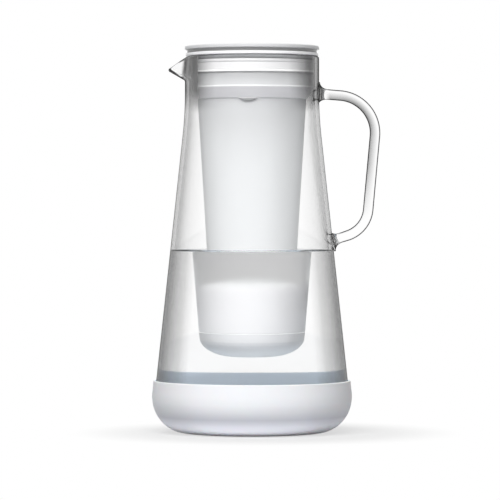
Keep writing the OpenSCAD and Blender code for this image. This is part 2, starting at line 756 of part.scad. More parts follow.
module door_gasket() {
    outer_r = door_r - door_gap - 0.2;
    color([0.9, 0.9, 0.9]) difference() {
        translate([-door_x, 0, 0]) tube(outer_r, door_r - ledge_w, door_z - door_gasket_t, door_z);
        translate([hinge_x - hinge_room - 3, -far / 2, door_z - 5]) cube([far, far, 10]);
    }
}

glass_jug();
glass_handle();
base_boot();
hopper_ring();
hopper_cone();
neck_gasket();
ring_seal();
membrane_housing();
membrane_base();
potting_plug();
hollow_fibres();
membrane_seal();
carbon_cup();
carbon_cap();
carbon_bed();
ion_resin_bed();
inlet_fleece();
outlet_fleece();
cap_seal();
lid_cover();
lid_gasket();
hinge_pins();
filling_door();
door_gasket();
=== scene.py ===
# %% [markdown]
# # A water filter pitcher: glass, frosted plastic, silicone and water
#
# The pitcher is a tapered glass jug in a silicone boot. A hopper hangs in its neck, a cartridge
# sits at the hopper's foot, and a flat lid closes the top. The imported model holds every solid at
# its real size and place. This script gives the pieces their finish: smooth surfaces worked out
# with numpy, and one procedural material for each real material.

# %% Load the frame
import math

import bmesh
import bpy
import numpy as np
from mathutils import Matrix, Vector


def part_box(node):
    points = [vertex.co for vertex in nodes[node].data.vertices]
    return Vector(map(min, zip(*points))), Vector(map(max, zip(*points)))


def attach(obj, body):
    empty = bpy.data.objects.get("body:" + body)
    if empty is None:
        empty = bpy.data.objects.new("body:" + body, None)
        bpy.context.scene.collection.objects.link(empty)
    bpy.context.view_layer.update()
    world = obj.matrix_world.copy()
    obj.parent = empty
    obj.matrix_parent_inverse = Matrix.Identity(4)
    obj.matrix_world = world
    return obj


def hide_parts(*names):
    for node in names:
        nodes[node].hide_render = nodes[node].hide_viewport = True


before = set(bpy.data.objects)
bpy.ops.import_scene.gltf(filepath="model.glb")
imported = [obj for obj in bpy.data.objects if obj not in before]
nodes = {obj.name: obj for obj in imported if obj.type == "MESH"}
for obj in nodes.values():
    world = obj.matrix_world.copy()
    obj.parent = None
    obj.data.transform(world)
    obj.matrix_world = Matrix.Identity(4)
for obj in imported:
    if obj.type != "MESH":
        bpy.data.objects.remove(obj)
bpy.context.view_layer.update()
print("nodes in the frame:", len(nodes))

# %% [markdown]
# ## Sizes
#
# The source of the part is written in millimetres, and the scene is in metres. All sizes below are
# millimetres as in the source, and one helper turns them into metres when a mesh is made. Sizes
# that the frame can give are measured from it, so the scene follows the part.

# %% Measure the frame in millimetres
MM = 0.001


def box_mm(node):
    """The lowest and the highest corner of a node, in millimetres."""
    low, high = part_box(node)
    return np.array(low) / MM, np.array(high) / MM


jug_low, jug_high = box_mm("glass_jug")
_, boot_high = box_mm("base_boot")
_, ring_high = box_mm("hopper_ring")
cone_low, cone_high = box_mm("hopper_cone")
_, lid_high = box_mm("lid_cover")

rim_z = jug_high[2]
glass_z = jug_low[2]
# the lid's disc is as wide as the neck
neck_r = lid_high[1]
print("rim at", round(rim_z, 2), "mm, neck radius", round(neck_r, 2), "mm")

# %% [markdown]
# ## From numbers to a mesh
#
# A surface here is a grid of points: rows run along a profile and columns run around it. It could
# be pushed into shape by hand, but worked out as one numpy array it follows the sizes. Where a row
# shrinks to a single point, as at the centre of a floor, the doubled points are merged, so seams
# and poles are closed and the normals can be made to point outwards.

# %% Make a closed mesh from a grid of points
# points nearer than this, in metres, are one point
MERGE_WITHIN = 1e-7


def grid_faces(rows, columns, wrap_rows):
    """Quads between neighbouring rows and columns. Columns always wrap round."""
    index = np.arange(rows * columns).reshape(rows, columns)
    if wrap_rows:
        index = np.vstack([index, index[:1]])
    beside = np.roll(index, -1, axis=1)
    return np.stack([index[:-1], beside[:-1], beside[1:], index[1:]], axis=-1).reshape(-1, 4)


def close_surface(mesh):
    """Merge the doubled points of seams and poles, then turn every face outwards."""
    work = bmesh.new()
    work.from_mesh(mesh)
    bmesh.ops.remove_doubles(work, verts=work.verts, dist=MERGE_WITHIN)
    bmesh.ops.dissolve_degenerate(work, edges=work.edges, dist=MERGE_WITHIN)
    bmesh.ops.recalc_face_normals(work, faces=work.faces)
    work.to_mesh(mesh)
    work.free()
    mesh.shade_smooth()


def add_surface(name, points_mm, wrap_rows=False):
    """A smooth closed mesh from a (rows, columns, 3) grid in millimetres."""
    rows, columns, _ = points_mm.shape
    mesh = bpy.data.meshes.new(name)
    faces = grid_faces(rows, columns, wrap_rows)
    mesh.from_pydata((points_mm.reshape(-1, 3) * MM).tolist(), [], faces.tolist())
    close_surface(mesh)
    piece = bpy.data.objects.new(name, mesh)
    bpy.context.scene.collection.objects.link(piece)
    print(name, "has", len(mesh.polygons), "faces")
    return piece


print("a grid of 3 rows and 8 columns has", len(grid_faces(3, 8, False)), "faces")

# %% [markdown]
# ## Turned pieces
#
# Most pieces of the pitcher are round: one outline in a plane, turned about the upright axis. A
# Screw modifier could turn it too, but the numbers can also cut each circle back to a flat. Real
# moulded parts have no knife edges, so each corner of an outline is rounded first. A curve takes
# the corner's place, and one more point just outside each end of the curve keeps the shading of
# the long sides flat.

# %% Round the corners of an outline
# the extra point lies this many radii from the corner, and a corner takes this share of a side
SUPPORT = 1.6
SIDE_SHARE = 0.45


def rounded(outline, radius, points_per_corner=5):
    """Each corner P becomes a quadratic curve (1-t)^2 A + 2t(1-t) P + t^2 B, where A and B lie
    `radius` before and after it, or less on a short side. The first two columns are the place, and
    any further column is carried along."""
    corner = np.asarray(outline, float)
    to_last = np.roll(corner, 1, axis=0) - corner
    to_next = np.roll(corner, -1, axis=0) - corner
    last_len = np.linalg.norm(to_last[:, :2], axis=1)
    next_len = np.linalg.norm(to_next[:, :2], axis=1)
    room = SIDE_SHARE / SUPPORT * np.minimum(last_len, next_len)
    cut = np.minimum(radius, room)
    before = to_last * (cut / last_len)[:, None]
    after = to_next * (cut / next_len)[:, None]
    t = np.linspace(0, 1, points_per_corner)[None, :, None]
    curve = corner[:, None] + (1 - t) ** 2 * before[:, None] + t ** 2 * after[:, None]
    ends = corner[:, None] + SUPPORT * np.stack([before, after], axis=1)
    points = np.concatenate([ends[:, :1], curve, ends[:, 1:]], axis=1)
    return points.reshape(-1, corner.shape[1])


print("4 rounded corners have", len(rounded([(0, 0), (4, 0), (4, 4), (0, 4)], 1.0)), "points")


# %% Turn an outline about the upright axis
def cut_back(radius, reach, angle, soft=60.0):
    """The circle or the line x = -reach, whichever is nearer the axis, with a soft corner between
    them: (radius / r) ^ soft = 1 + (-radius cos(a) / reach) ^ soft."""
    toward = np.maximum(-np.cos(angle), 0) * radius / reach
    return radius / (1 + toward ** soft) ** (1 / soft)


def turned(outline, columns=192):
    """Points (r cos a, r sin a, z) for every outline point (r, z) and angle a. A third column is
    the distance from the axis, towards the spout, at which the circle is cut back to a flat."""
    table = np.asarray(outline, float)[:, :, None]
    angle = np.linspace(0, 2 * math.pi, columns, endpoint=False)[None, :]
    radius = table[:, 0]
    if table.shape[1] == 3:
        radius = cut_back(radius, table[:, 2], angle)
    x = radius * np.cos(angle)
    y = radius * np.sin(angle)
    return np.stack([x, y, table[:, 1] + np.zeros_like(x)], axis=-1)


def add_turned(name, outline, closed=True, columns=192):
    """A turned piece. An outline that isn't closed starts and ends on the axis."""
    return add_surface(name, turned(outline, columns), wrap_rows=closed)


print("one outline point is turned into", turned([(1, 0)]).shape[1])


# %% [markdown]
# ## The jug's glass
#
# The jug is blown glass: a flat underside, a rounded corner, a straight taper, a soft shoulder and
# a straight neck. The same formulas as in the part's source give this outline: an ellipse for the
# corner, the straight line that touches it, and a quadratic curve for the shoulder. The spout is
# pulled out of the neck. Joined on as a piece of its own, it would show a seam in the clear glass,
# so its surface belongs to the same grid: columns crowd together there, the bulge grows from its
# root to the rim, and the rim dips towards the tip.

# %% Outline of the glass
base_flat_r = 46.0
belly_r = 67.15
belly_z = 25.0
shoulder_z = 219.4
shoulder_blend = 14.0
glass_wall = 2.7
glass_floor = 3.6
jug_corner_rows = 14


def ellipse_start(across, up):
    """The angle at which an ellipse meets its tangent from a point (across, up), in unit radii."""
    return math.atan2(up, across) - math.acos(1 / math.hypot(across, up))


def glass_outline(inset, floor_z, corner_rows=jug_corner_rows, side_rows=48, shoulder_rows=12):
    """Points of the glass's outline, inset from its outer face: corner, taper and shoulder."""
    a = belly_r - inset - base_flat_r
    b = belly_z - floor_z
    top_angle = ellipse_start((neck_r - inset - base_flat_r) / a, (shoulder_z - belly_z) / b)
    angle = np.linspace(-math.pi / 2, top_angle, corner_rows)
    corner = np.stack([base_flat_r + a * np.cos(angle), belly_z + b * np.sin(angle)], axis=1)
    start = corner[-1]
    slope = (neck_r - inset - start[0]) / (shoulder_z - start[1])
    low_z = shoulder_z - shoulder_blend
    side_z = np.linspace(start[1], low_z, side_rows)[1:]
    side = np.stack([start[0] + slope * (side_z - start[1]), side_z], axis=1)
    t = np.linspace(0, 1, shoulder_rows)[1:, None]
    bend = np.array([neck_r - inset, shoulder_z])
    end = np.array([neck_r - inset, shoulder_z + shoulder_blend])
    shoulder = (1 - t) ** 2 * side[-1] + 2 * t * (1 - t) * bend + t ** 2 * end
    return np.vstack([corner, side, shoulder])


outer_outline = glass_outline(0, glass_z)
print("widest glass", round(outer_outline[:, 0].max(), 2), "mm")
print("widest glass in the frame", round(jug_high[1], 2), "mm")

# %% The spout's lip and its bulge
spout_reach = 10.6
spout_half_angle = math.radians(16)
spout_root_z = rim_z - 16.6
lip_fall = 0.754
lip_fall_start = 44.7
lip_fall_blend = 0.7
lip_blend = 1.2
# the angle over which the tip is rounded, the share of it by which the sides then spread, and the
# angle from the spout at which the sides end
tip_round = 0.055
tip_spare = 0.35
spout_side = 1.2


def soft_positive(value, blend):
    """The value where it is positive and 0 where it isn't, with a soft bend `blend` wide between
    them: blend * ln(1 + e^(value / blend))."""
    return np.log1p(np.exp(value / blend)) * blend


def spout_radius(angle):
    """Radius of the lip at an angle from the spout: the straight line in plan from the tip to the
    neck, in polar form, rounded at the tip and blended into the neck's circle. The line aims at a
    point past the tip, so that the rounding still reaches the full length."""
    reach = neck_r + spout_reach
    near = math.cos(spout_half_angle) * neck_r
    side = math.sin(spout_half_angle) * neck_r
    start = tip_round * (1 - tip_spare)
    across = side * math.cos(start) - near * math.sin(start)
    tip = reach * across / (side - reach * math.sin(start))
    a = np.sqrt(angle ** 2 + tip_round ** 2) - tip_round * tip_spare
    line = tip * side / (side * np.cos(a) + (tip - near) * np.sin(np.minimum(a, spout_side)))
    line = np.where(a > spout_side, 0, line)
    return neck_r + soft_positive(line - neck_r, lip_blend)


def lip_height(angle):
    """Height of the rim's crest: level, then falling in a straight line towards the tip."""
    out = spout_radius(angle) * np.cos(angle) - lip_fall_start
    return rim_z - glass_wall / 2 - soft_positive(out, lip_fall_blend) * lip_fall


print("the spout reaches", round(float(spout_radius(0.0)) - neck_r, 2), "mm past the neck")


# %% The jug's outer face
jug_columns = 320
neck_rows = 40
root_blend = 0.04
crowding = 0.86
even = np.linspace(-math.pi, math.pi, jug_columns, endpoint=False)
from_spout = even - crowding * np.sin(even)


def jug_outer():
    """Rows up the outer face. Above the shoulder the rows are spread up to the lip's height, and
    the radius grows from the neck's to the lip's in a straight line above the spout's root."""
    low = np.repeat(outer_outline[:, None, :], jug_columns, axis=1)
    share = np.linspace(0, 1, neck_rows)[1:, None]
    start_z = outer_outline[-1, 1]
    height = start_z + share * (lip_height(from_spout)[None] - start_z)
    climb = (height - spout_root_z) / (lip_height(from_spout)[None] - spout_root_z)
    climb = soft_positive(climb, root_blend)
    radius = neck_r + np.minimum(climb, 1) * (spout_radius(from_spout)[None] - neck_r)
    high = np.stack([radius, height], axis=-1)
    profile = np.concatenate([low, high])
    around = np.pi + from_spout[None]
    x = profile[..., 0] * np.cos(around)
    y = profile[..., 0] * np.sin(around)
    return np.stack([x, y, profile[..., 1]], axis=-1)


outer_face = jug_outer()
print("rows up the outer face:", len(outer_face))


# %% The jug's inner face and rim
rim_points = 14


def unit_rows(vectors):
    """Vectors scaled to length one."""
    return vectors / np.linalg.norm(vectors, axis=-1, keepdims=True)


def grid_normals(points):
    """Unit normals of a grid that wraps round, from the cross product of its two directions."""
    up = np.gradient(points, axis=0)
    side = np.roll(points, -1, axis=1) - np.roll(points, 1, axis=1)
    return unit_rows(np.cross(side, up))


outer_normal = grid_normals(outer_face)
# the wall thins from the floor's thickness to its own along the rounded corner
thick = np.full(len(outer_face), glass_wall)
thick[:jug_corner_rows] = np.linspace(glass_floor, glass_wall, jug_corner_rows)
inner_face = outer_face - outer_normal * thick[:, None, None]
# the rim is a half circle from the outer face over the crest to the inner face
crest_way = unit_rows(outer_face[-1] - outer_face[-2])
rim_turn = np.linspace(0, math.pi, rim_points)[1:-1, None, None]
rim_way = np.cos(rim_turn) * outer_normal[-1] + np.sin(rim_turn) * crest_way
rim_face = (outer_face[-1] + inner_face[-1]) / 2 + glass_wall / 2 * rim_way
print("rows over the rim:", len(rim_face))

# %% The floor's centre closes the glass
floor_rings = np.array([0.0, 6.0, 14.0, 24.0, 34.0, 42.0])


def flat_disc(z):
    """Rings of points at one height, from the centre outwards."""
    around = np.pi + from_spout[None]
    ring = floor_rings[:, None]
    x = ring * np.cos(around)
    return np.stack([x, ring * np.sin(around), np.full_like(x, z)], axis=-1)


jug_grid = np.concatenate([
    flat_disc(glass_z), outer_face, rim_face, inner_face[::-1],
    flat_disc(glass_z + glass_floor)[::-1],
])
jug = add_surface("jug_glass", jug_grid)
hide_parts("glass_jug")
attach(jug, "jug")

# %% [markdown]
# ## The glass handle
#
# The handle is a bent rod of solid glass, fused to the wall at both ends. A Bezier curve with a
# round bevel would do for a tube, but its bends wouldn't be true arcs. The middle line lies in one
# plane, so its heading alone describes it: constant along a straight stretch and changing evenly
# through a bend. The points are the running sum of the heading. A circle is then carried along
# that line, wider at both ends where the hot glass spread over the wall.

# %% Middle line of the handle
handle_d = 7.2
handle_low_d = 6.4
handle_top_drop = 25.7
handle_reach = 40.9
handle_top_fall = math.radians(4.7)
handle_low_z = 132.5
handle_low_rise = math.radians(18.2)
handle_lean = math.radians(5.2)
top_bend_r = 26.0
low_bend_r = 20.7
flare_r = 4.4
flare_len = 6.0
rod_sunk = 1.2


def side_r(z):
    """Outer radius of the glass at a height of the taper."""
    return float(np.interp(z, outer_outline[:, 1], outer_outline[:, 0]))


def way(heading):
    """Unit vector of a heading in the upright plane of the handle."""
    return np.array([math.cos(heading), math.sin(heading)])


def cross_2d(a, b):
    """The cross product of two vectors in a plane."""
    return a[0] * b[1] - a[1] * b[0]


print("the lower joint is", round(side_r(handle_low_z), 2), "mm from the axis")

# %% Bends and straight stretches of the line
top_joint = np.array([neck_r, rim_z - handle_top_drop])
top_corner = top_joint + handle_reach * np.array([1, -math.tan(handle_top_fall)])
low_joint = np.array([side_r(handle_low_z), handle_low_z])
top_heading = -handle_top_fall
grip_heading = -math.pi / 2 - handle_lean
low_heading = -math.pi + handle_low_rise
low_way = way(low_heading)
grip_len = cross_2d(low_joint - top_corner, low_way) / cross_2d(way(grip_heading), low_way)
low_corner = top_corner + grip_len * way(grip_heading)
top_cut = top_bend_r * math.tan((top_heading - grip_heading) / 2)
low_cut = low_bend_r * math.tan((grip_heading - low_heading) / 2)
stretches = np.array([
    rod_sunk + np.linalg.norm(top_corner - top_joint) - top_cut,
    top_bend_r * (top_heading - grip_heading),
    grip_len - top_cut - low_cut,
    low_bend_r * (grip_heading - low_heading),
    np.linalg.norm(low_joint - low_corner) - low_cut + rod_sunk,
])
rod_len = stretches.sum()
print("the handle's rod is", round(rod_len, 1), "mm long")

# %% Carry a circle along the line
rod_rows = 420
around_rod = 64
run = np.linspace(0, rod_len, rod_rows)
heading = np.interp(
    run, np.concatenate([[0], np.cumsum(stretches)]),
    [top_heading, top_heading, grip_heading, grip_heading, low_heading, low_heading],
)
pace = run[1] - run[0]
middle_heading = (heading[1:] + heading[:-1]) / 2
steps_xz = pace * np.stack([np.cos(middle_heading), np.sin(middle_heading)], axis=1)
rod_start = top_joint - rod_sunk * way(top_heading)
rod_line = rod_start + np.vstack([[0, 0], np.cumsum(steps_xz, axis=0)])


def close_ends(grid):
    """A carried profile with one more row at each end, whose points all lie at the end's middle."""
    ends = [
        np.repeat(grid[[i]].mean(axis=1, keepdims=True), grid.shape[1], axis=1) for i in (0, -1)
    ]
    return np.concatenate([ends[0], grid, ends[1]])


def flare(distance):
    """How much the radius grows near a joint: a quarter of an ellipse that opens towards it."""
    share = np.clip(1 - (distance - rod_sunk) / flare_len, 0, 1)
    return flare_r * (1 - np.sqrt(1 - share ** 2))


low_arm_start = rod_len - stretches[-1]
rod_d = np.interp(run, [0, low_arm_start, rod_len], [handle_d, handle_d, handle_low_d])
rod_r = rod_d / 2 + flare(run) + flare(rod_len - run)
spin = np.linspace(0, 2 * math.pi, around_rod, endpoint=False)[None, :]
out_x = -np.sin(heading)[:, None] * np.cos(spin)
out_z = np.cos(heading)[:, None] * np.cos(spin)
rod_grid = np.stack([
    rod_line[:, :1] + rod_r[:, None] * out_x,
    rod_r[:, None] * np.broadcast_to(np.sin(spin), out_x.shape),
    rod_line[:, 1:] + rod_r[:, None] * out_z,
], axis=-1)
handle = add_surface("handle_rod", close_ends(rod_grid))
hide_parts("glass_handle")
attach(handle, "jug")

# %% [markdown]
# ## The silicone boot
#
# The boot is a moulded cup of soft silicone that the jug stands in. Its outside repeats the glass's
# outline, one wall further out, and its rim is fully rounded. A Solidify modifier could give it a
# wall, but the floor is thicker than the wall, so both faces are worked out. The inner face keeps
# a hair more distance than the fit in the source, so that glass and silicone never share a face.

# %% Boot
boot_wall = 1.8
boot_fit = 0.05
boot_air = 0.12
boot_floor = 2.4
boot_rim_z = boot_high[2]
boot_rim_points = 12


def boot_side(inset, floor_z, top_z):
    """The glass outline grown outwards, up to a height."""
    line = glass_outline(inset, floor_z, corner_rows=32)
    below = line[line[:, 1] < top_z]
    top_r = np.interp(top_z, line[:, 1], line[:, 0])
    return np.vstack([below, [top_r, top_z]])


boot_edge = boot_wall / 2
boot_outside = boot_side(-boot_fit - boot_wall, 0, boot_rim_z - boot_edge)
boot_inside = boot_side(-boot_air, boot_floor, boot_rim_z - boot_edge)
edge_turn = np.linspace(0, math.pi, boot_rim_points)[1:-1]
edge_middle = (boot_outside[-1] + boot_inside[-1]) / 2
edge_half = (boot_outside[-1] - boot_inside[-1])[0] / 2
boot_round = np.stack([edge_half * np.cos(edge_turn), boot_edge * np.sin(edge_turn)], axis=1)
boot_rim = edge_middle + boot_round
boot_outline = np.vstack([[0, 0], boot_outside, boot_rim, boot_inside[::-1], [0, boot_floor]])
boot = add_turned("boot_shell", boot_outline, closed=False, columns=256)
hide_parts("base_boot")
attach(boot, "jug")

# %% [markdown]
# ## The water
#
# The jug is part full. Water needs a real surface of its own, or light would not bend through it.
# It could stop exactly at the glass, but then the two faces would flicker where they meet. So the
# solid below reaches a hair into the glass, and no air gap shows between them. Its top climbs a
# little at the wall, as water does. It has no solid in the part's source, because it is only
# shown, and it rides on the jug.

# %% Water
water_z = 124.8
water_in_glass = 0.06
climb_h = 1.3
climb_w = 1.0
glass_floor_z = glass_z + glass_floor
water_floor_z = glass_floor_z - water_in_glass


def level_rings(radii, z):
    """Outline points (radius, z) at one height."""
    return np.stack([radii, np.full_like(radii, z)], axis=1)


inner_line = glass_outline(glass_wall, glass_floor_z, corner_rows=28)
edge_r = np.interp(water_z + climb_h, inner_line[:, 1], inner_line[:, 0]) + water_in_glass
water_side = inner_line[inner_line[:, 1] < water_z + climb_h] + [water_in_glass, 0]
in_corner = water_side[:, 1] < belly_z
water_side[:, 1] = np.maximum(water_side[:, 1] - water_in_glass * in_corner, water_floor_z)
# height of the climbing edge: climb_h * e^(-distance from the wall / climb_w)
inward = np.array([0, 0.15, 0.35, 0.6, 0.9, 1.3, 1.9, 2.8, 4.2, 6.5])
meniscus = np.stack([edge_r - inward, water_z + climb_h * np.exp(-inward / climb_w)], axis=1)
water_outline = np.vstack([
    level_rings(np.array([0.0, 20.0, 40.0]), water_floor_z), water_side, meniscus,
    level_rings(np.array([40.0, 30.0, 20.0, 10.0, 0.0]), water_z),
])
water = add_turned("water_fill", water_outline, closed=False, columns=256)
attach(water, "jug")

# %% [markdown]
# ## The hopper
#
# The hopper is two moulded pieces: a stiff ring that hangs in the neck, and a long frosted cone.
# A flat on the spout's side of the ring leaves the way free for the water. A Boolean cut would
# leave a hard edge and rough shading there, so the ring is turned like the others, but each circle
# is cut back to the flat, with a soft corner as a mould gives it.

# %% Sizes of the hopper's pieces
flange_top_z = ring_high[2]
flange_t = 2.0
flange_z = flange_top_z - flange_t
flange_r = ring_high[1]
ring_clearance = 1.3
ring_drop = 22.2
ring_taper = 7.5
ring_wall = 2.2
ring_overhang = 0.55
pour_setback = 0.95
gasket_drop = 3.2
gasket_h = 8.8
groove_depth = 0.8
cone_top_z = cone_high[2]
cone_top_r = cone_high[0]
cone_low_r = 27.6
cone_len = cone_top_z - cone_low[2]
cone_wall = 1.6

neck_in_r = neck_r - glass_wall
ring_r = neck_in_r - ring_clearance
ring_in_r = ring_r - ring_wall
taper_z = flange_z - ring_drop
ring_foot_z = taper_z - ring_taper
ring_foot_r = cone_top_r + ring_overhang
pour_flat = cone_top_r - pour_setback
groove_top_z = flange_z - gasket_drop
groove_low_z = groove_top_z - gasket_h


def cone_r(z):
    """Outer radius of the cone at a height."""
    return cone_low_r + (cone_top_r - cone_low_r) * (z - cone_low[2]) / cone_len


print("the ring's foot is at", round(ring_foot_z, 2), "mm, the flat", round(pour_flat, 2), "mm out")

# %% Ring
spigot_len = 8.0
spigot_fit = 0.1
spigot_z = ring_foot_z - spigot_len
spigot_top_r = cone_r(cone_top_z) - cone_wall - spigot_fit
spigot_low_r = cone_r(spigot_z) - cone_wall - spigot_fit
# a flat this far out cuts nothing, and an extra row `beside` an edge keeps that edge sharp
open_side = 200.0
beside = 1.2
inside_flat = pour_flat - ring_wall
# more columns than other turned pieces have, so that the flat's corners are smooth
flat_columns = 288
# a low bead runs round the ring just above its taper
bead_r = ring_r + 0.3
bead_top_z = taper_z + 0.5
bead_end_z = taper_z + 1.1
# radius, height, distance of the flat, and how far the corner is rounded
ring_corners = np.array([
    (flange_r, flange_top_z, open_side, 0.6),
    (ring_in_r + beside, flange_top_z, inside_flat + beside, 0.1),
    (ring_in_r, flange_top_z, inside_flat, 0.6),
    (ring_in_r, taper_z + 1, inside_flat, 0.8),
    (spigot_top_r - ring_wall, ring_foot_z, inside_flat, 0.8),
    (spigot_low_r - ring_wall, spigot_z, open_side, 0.5),
    (spigot_low_r, spigot_z, open_side, 0.3),
    (spigot_top_r, ring_foot_z, open_side, 0.05),
    (ring_foot_r, ring_foot_z, pour_flat, 0.4),
    (bead_r, taper_z, pour_flat, 0.2),
    (bead_r, bead_top_z, pour_flat, 0.2),
    (ring_r, bead_end_z, pour_flat, 0.2),
    (ring_r, groove_low_z, pour_flat, 0.15),
    (ring_r - groove_depth, groove_low_z, pour_flat, 0.15),
    (ring_r - groove_depth, groove_top_z, pour_flat, 0.15),
    (ring_r, groove_top_z, pour_flat, 0.15),
    (ring_r, flange_z, pour_flat, 0.3),
    (ring_r + beside, flange_z, pour_flat + beside, 0.1),
    (flange_r, flange_z, open_side, 0.3),
])
ring_outline = rounded(ring_corners[:, :3], ring_corners[:, 3])
ring = add_turned("hopper_ring_shell", ring_outline, columns=flat_columns)
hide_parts("hopper_ring")
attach(ring, "hopper")

# %% [markdown]
# ### Tab, cone and band
#
# The small lens-shaped tab under the ring's foot keeps ring and cone from twisting apart. It could
# be cut from a disc, but a section of four points carried along a short arc is the lens already:
# only its lower edge goes down and up again. The cone is one more turned outline. So is the
# silicone band that seals the ring in the neck, with two lips, a waist and the ring's flat.

# %% The lens-shaped tab under the ring's foot
tab_half_w = 7.0
tab_drop = 2.6
tab_root = 0.3
tab_turn = math.radians(4)
tab_in_r = cone_top_r + spigot_fit
tab_half_angle = math.asin(tab_half_w / ring_foot_r)
along = np.linspace(-1, 1, 49)
tab_angle = -math.pi / 2 - tab_turn + along * tab_half_angle
tab_low_z = ring_foot_z - tab_drop * (1 - along ** 2)
# its section goes round from the outer edge's top; 1 marks the two corners at the lens's height
tab_section_r = np.array([ring_foot_r, ring_foot_r, tab_in_r, tab_in_r])
tab_section_low = np.array([0, 1, 1, 0])
tab_z = ring_foot_z + tab_root + (tab_low_z - ring_foot_z - tab_root)[:, None] * tab_section_low
tab_grid = np.stack([
    np.cos(tab_angle)[:, None] * tab_section_r,
    np.sin(tab_angle)[:, None] * tab_section_r,
    tab_z,
], axis=-1)
tab = add_surface("ring_tab", close_ends(tab_grid))
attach(tab, "hopper")

# %% Frosted cone
skirt_h = 3.0
hopper_floor = 2.0
outlet_hole_r = 8.3
floor_low_z = cone_low[2] + skirt_h
floor_top_z = floor_low_z + hopper_floor
cone_corners = [
    (outlet_hole_r, floor_low_z), (cone_r(floor_low_z) - cone_wall, floor_low_z),
    (cone_r(cone_low[2]) - cone_wall, cone_low[2]), (cone_r(cone_low[2]), cone_low[2]),
    (cone_r(cone_top_z), cone_top_z), (cone_r(cone_top_z) - cone_wall, cone_top_z),
    (cone_r(floor_top_z) - cone_wall, floor_top_z), (outlet_hole_r, floor_top_z),
]
cone = add_turned("hopper_cone_shell", rounded(cone_corners, 0.4))
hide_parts("hopper_cone")
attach(cone, "hopper")

# %% Neck gasket
gasket_clearance = 0.4
gasket_fit = 0.02
lip = 0.55
low_lip_h = 0.6
top_lip_h = 1.6
low_slope_h = 0.75
top_slope_h = 0.8
gasket_out_r = neck_in_r - gasket_clearance
gasket_in_r = ring_r - groove_depth + gasket_fit
waist_r = gasket_out_r - lip
low_lip_z = groove_low_z + low_lip_h
top_lip_z = groove_top_z - top_lip_h
# radius, height, distance of the flat, and how far the corner is rounded
gasket_corners = np.array([
    (gasket_out_r, groove_low_z, pour_flat, 0.2),
    (gasket_out_r, low_lip_z, pour_flat, 0.2),
    (waist_r, low_lip_z + low_slope_h, pour_flat, 0.3),
    (waist_r, top_lip_z - top_slope_h, pour_flat, 0.3),
    (gasket_out_r, top_lip_z, pour_flat, 0.3),
    (gasket_out_r, groove_top_z, pour_flat, 0.8),
    (gasket_in_r, groove_top_z, pour_flat, 0.2),
    (gasket_in_r, groove_low_z, pour_flat, 0.2),
])
gasket_outline = rounded(gasket_corners[:, :3], gasket_corners[:, 3])
gasket = add_turned("neck_gasket_band", gasket_outline, columns=flat_columns)
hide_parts("neck_gasket")
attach(gasket, "hopper")

# %% [markdown]
# ## Materials
#
# Every finish is a small node tree. Image textures would need the pieces unwrapped, and patterns
# worked out from Object coordinates don't. One helper turns a colour as a painter reads it (sRGB
# hex) into the linear numbers that Blender wants, and one helper adds a node with its settings and
# its links. Pattern scales come from real sizes in millimetres, turned into metres.

# %% Colour and node helpers
# a Mix node has sockets for numbers, vectors and colours, and these are the ones for colours
FIRST, SECOND, MIXED = 6, 7, 2


def linear(hex_code):
    """An sRGB hex colour as linear RGBA: the curve of the sRGB standard, undone."""
    value = np.array([int(hex_code[i:i + 2], 16) for i in (1, 3, 5)]) / 255
    light = np.where(value <= 0.04045, value / 12.92, ((value + 0.055) / 1.055) ** 2.4)
    return (*light.tolist(), 1.0)


def add_node(tree, kind, inputs=None, **settings):
    """Add a node, set its properties, and fill each input with a value or with a link to it."""
    new = tree.nodes.new(kind)
    for key, value in settings.items():
        setattr(new, key, value)
    for key, value in (inputs or {}).items():
        if isinstance(value, bpy.types.NodeSocket):
            tree.links.new(value, new.inputs[key])
        else:
            new.inputs[key].default_value = value
    return new


print("the grey #808080 sends back", round(linear("#808080")[0], 3), "of the light")


# %% Material helpers
def new_material(name):
    """An empty material: its node tree and its output node."""
    material = bpy.data.materials.new(name)
    material.use_nodes = True
    tree = material.node_tree
    tree.nodes.clear()
    print("new material", name)
    return material, tree, add_node(tree, "ShaderNodeOutputMaterial")


def finish(piece, material):
    """Give a piece one material."""
    piece.data.materials.clear()
    piece.data.materials.append(material)
    print(piece.name, "is", material.name)


# %% Colours that change over a piece
def set_ramp(ramp_node, stops):
    """Fill a colour ramp with (position, hex colour) stops."""
    ramp = ramp_node.color_ramp
    while len(ramp.elements) < len(stops):
        ramp.elements.new(1.0)
    for element, (position, hex_code) in zip(ramp.elements, stops):
        element.position = position
        element.color = linear(hex_code)


def facing_ramp(tree, stops):
    """A colour that changes from faces seen head on (0) to faces seen edge on (1)."""
    facing = add_node(tree, "ShaderNodeLayerWeight", {"Blend": 0.5})
    ramp = add_node(tree, "ShaderNodeValToRGB", {"Fac": facing.outputs["Facing"]})
    set_ramp(ramp, stops)
    return ramp.outputs["Color"]


def height_ramp(tree, stops):
    """A colour that changes with the height. Stops are (height in mm, hex colour), lowest first."""
    place = add_node(tree, "ShaderNodeTexCoord")
    axes = add_node(tree, "ShaderNodeSeparateXYZ", {0: place.outputs["Object"]})
    low, high = stops[0][0], stops[-1][0]
    share = add_node(tree, "ShaderNodeMapRange", {
        "Value": axes.outputs["Z"], "From Min": low * MM, "From Max": high * MM})
    ramp = add_node(tree, "ShaderNodeValToRGB", {"Fac": share.outputs["Result"]})
    set_ramp(ramp, [((z - low) / (high - low), hex_code) for z, hex_code in stops])
    return ramp.outputs["Color"]


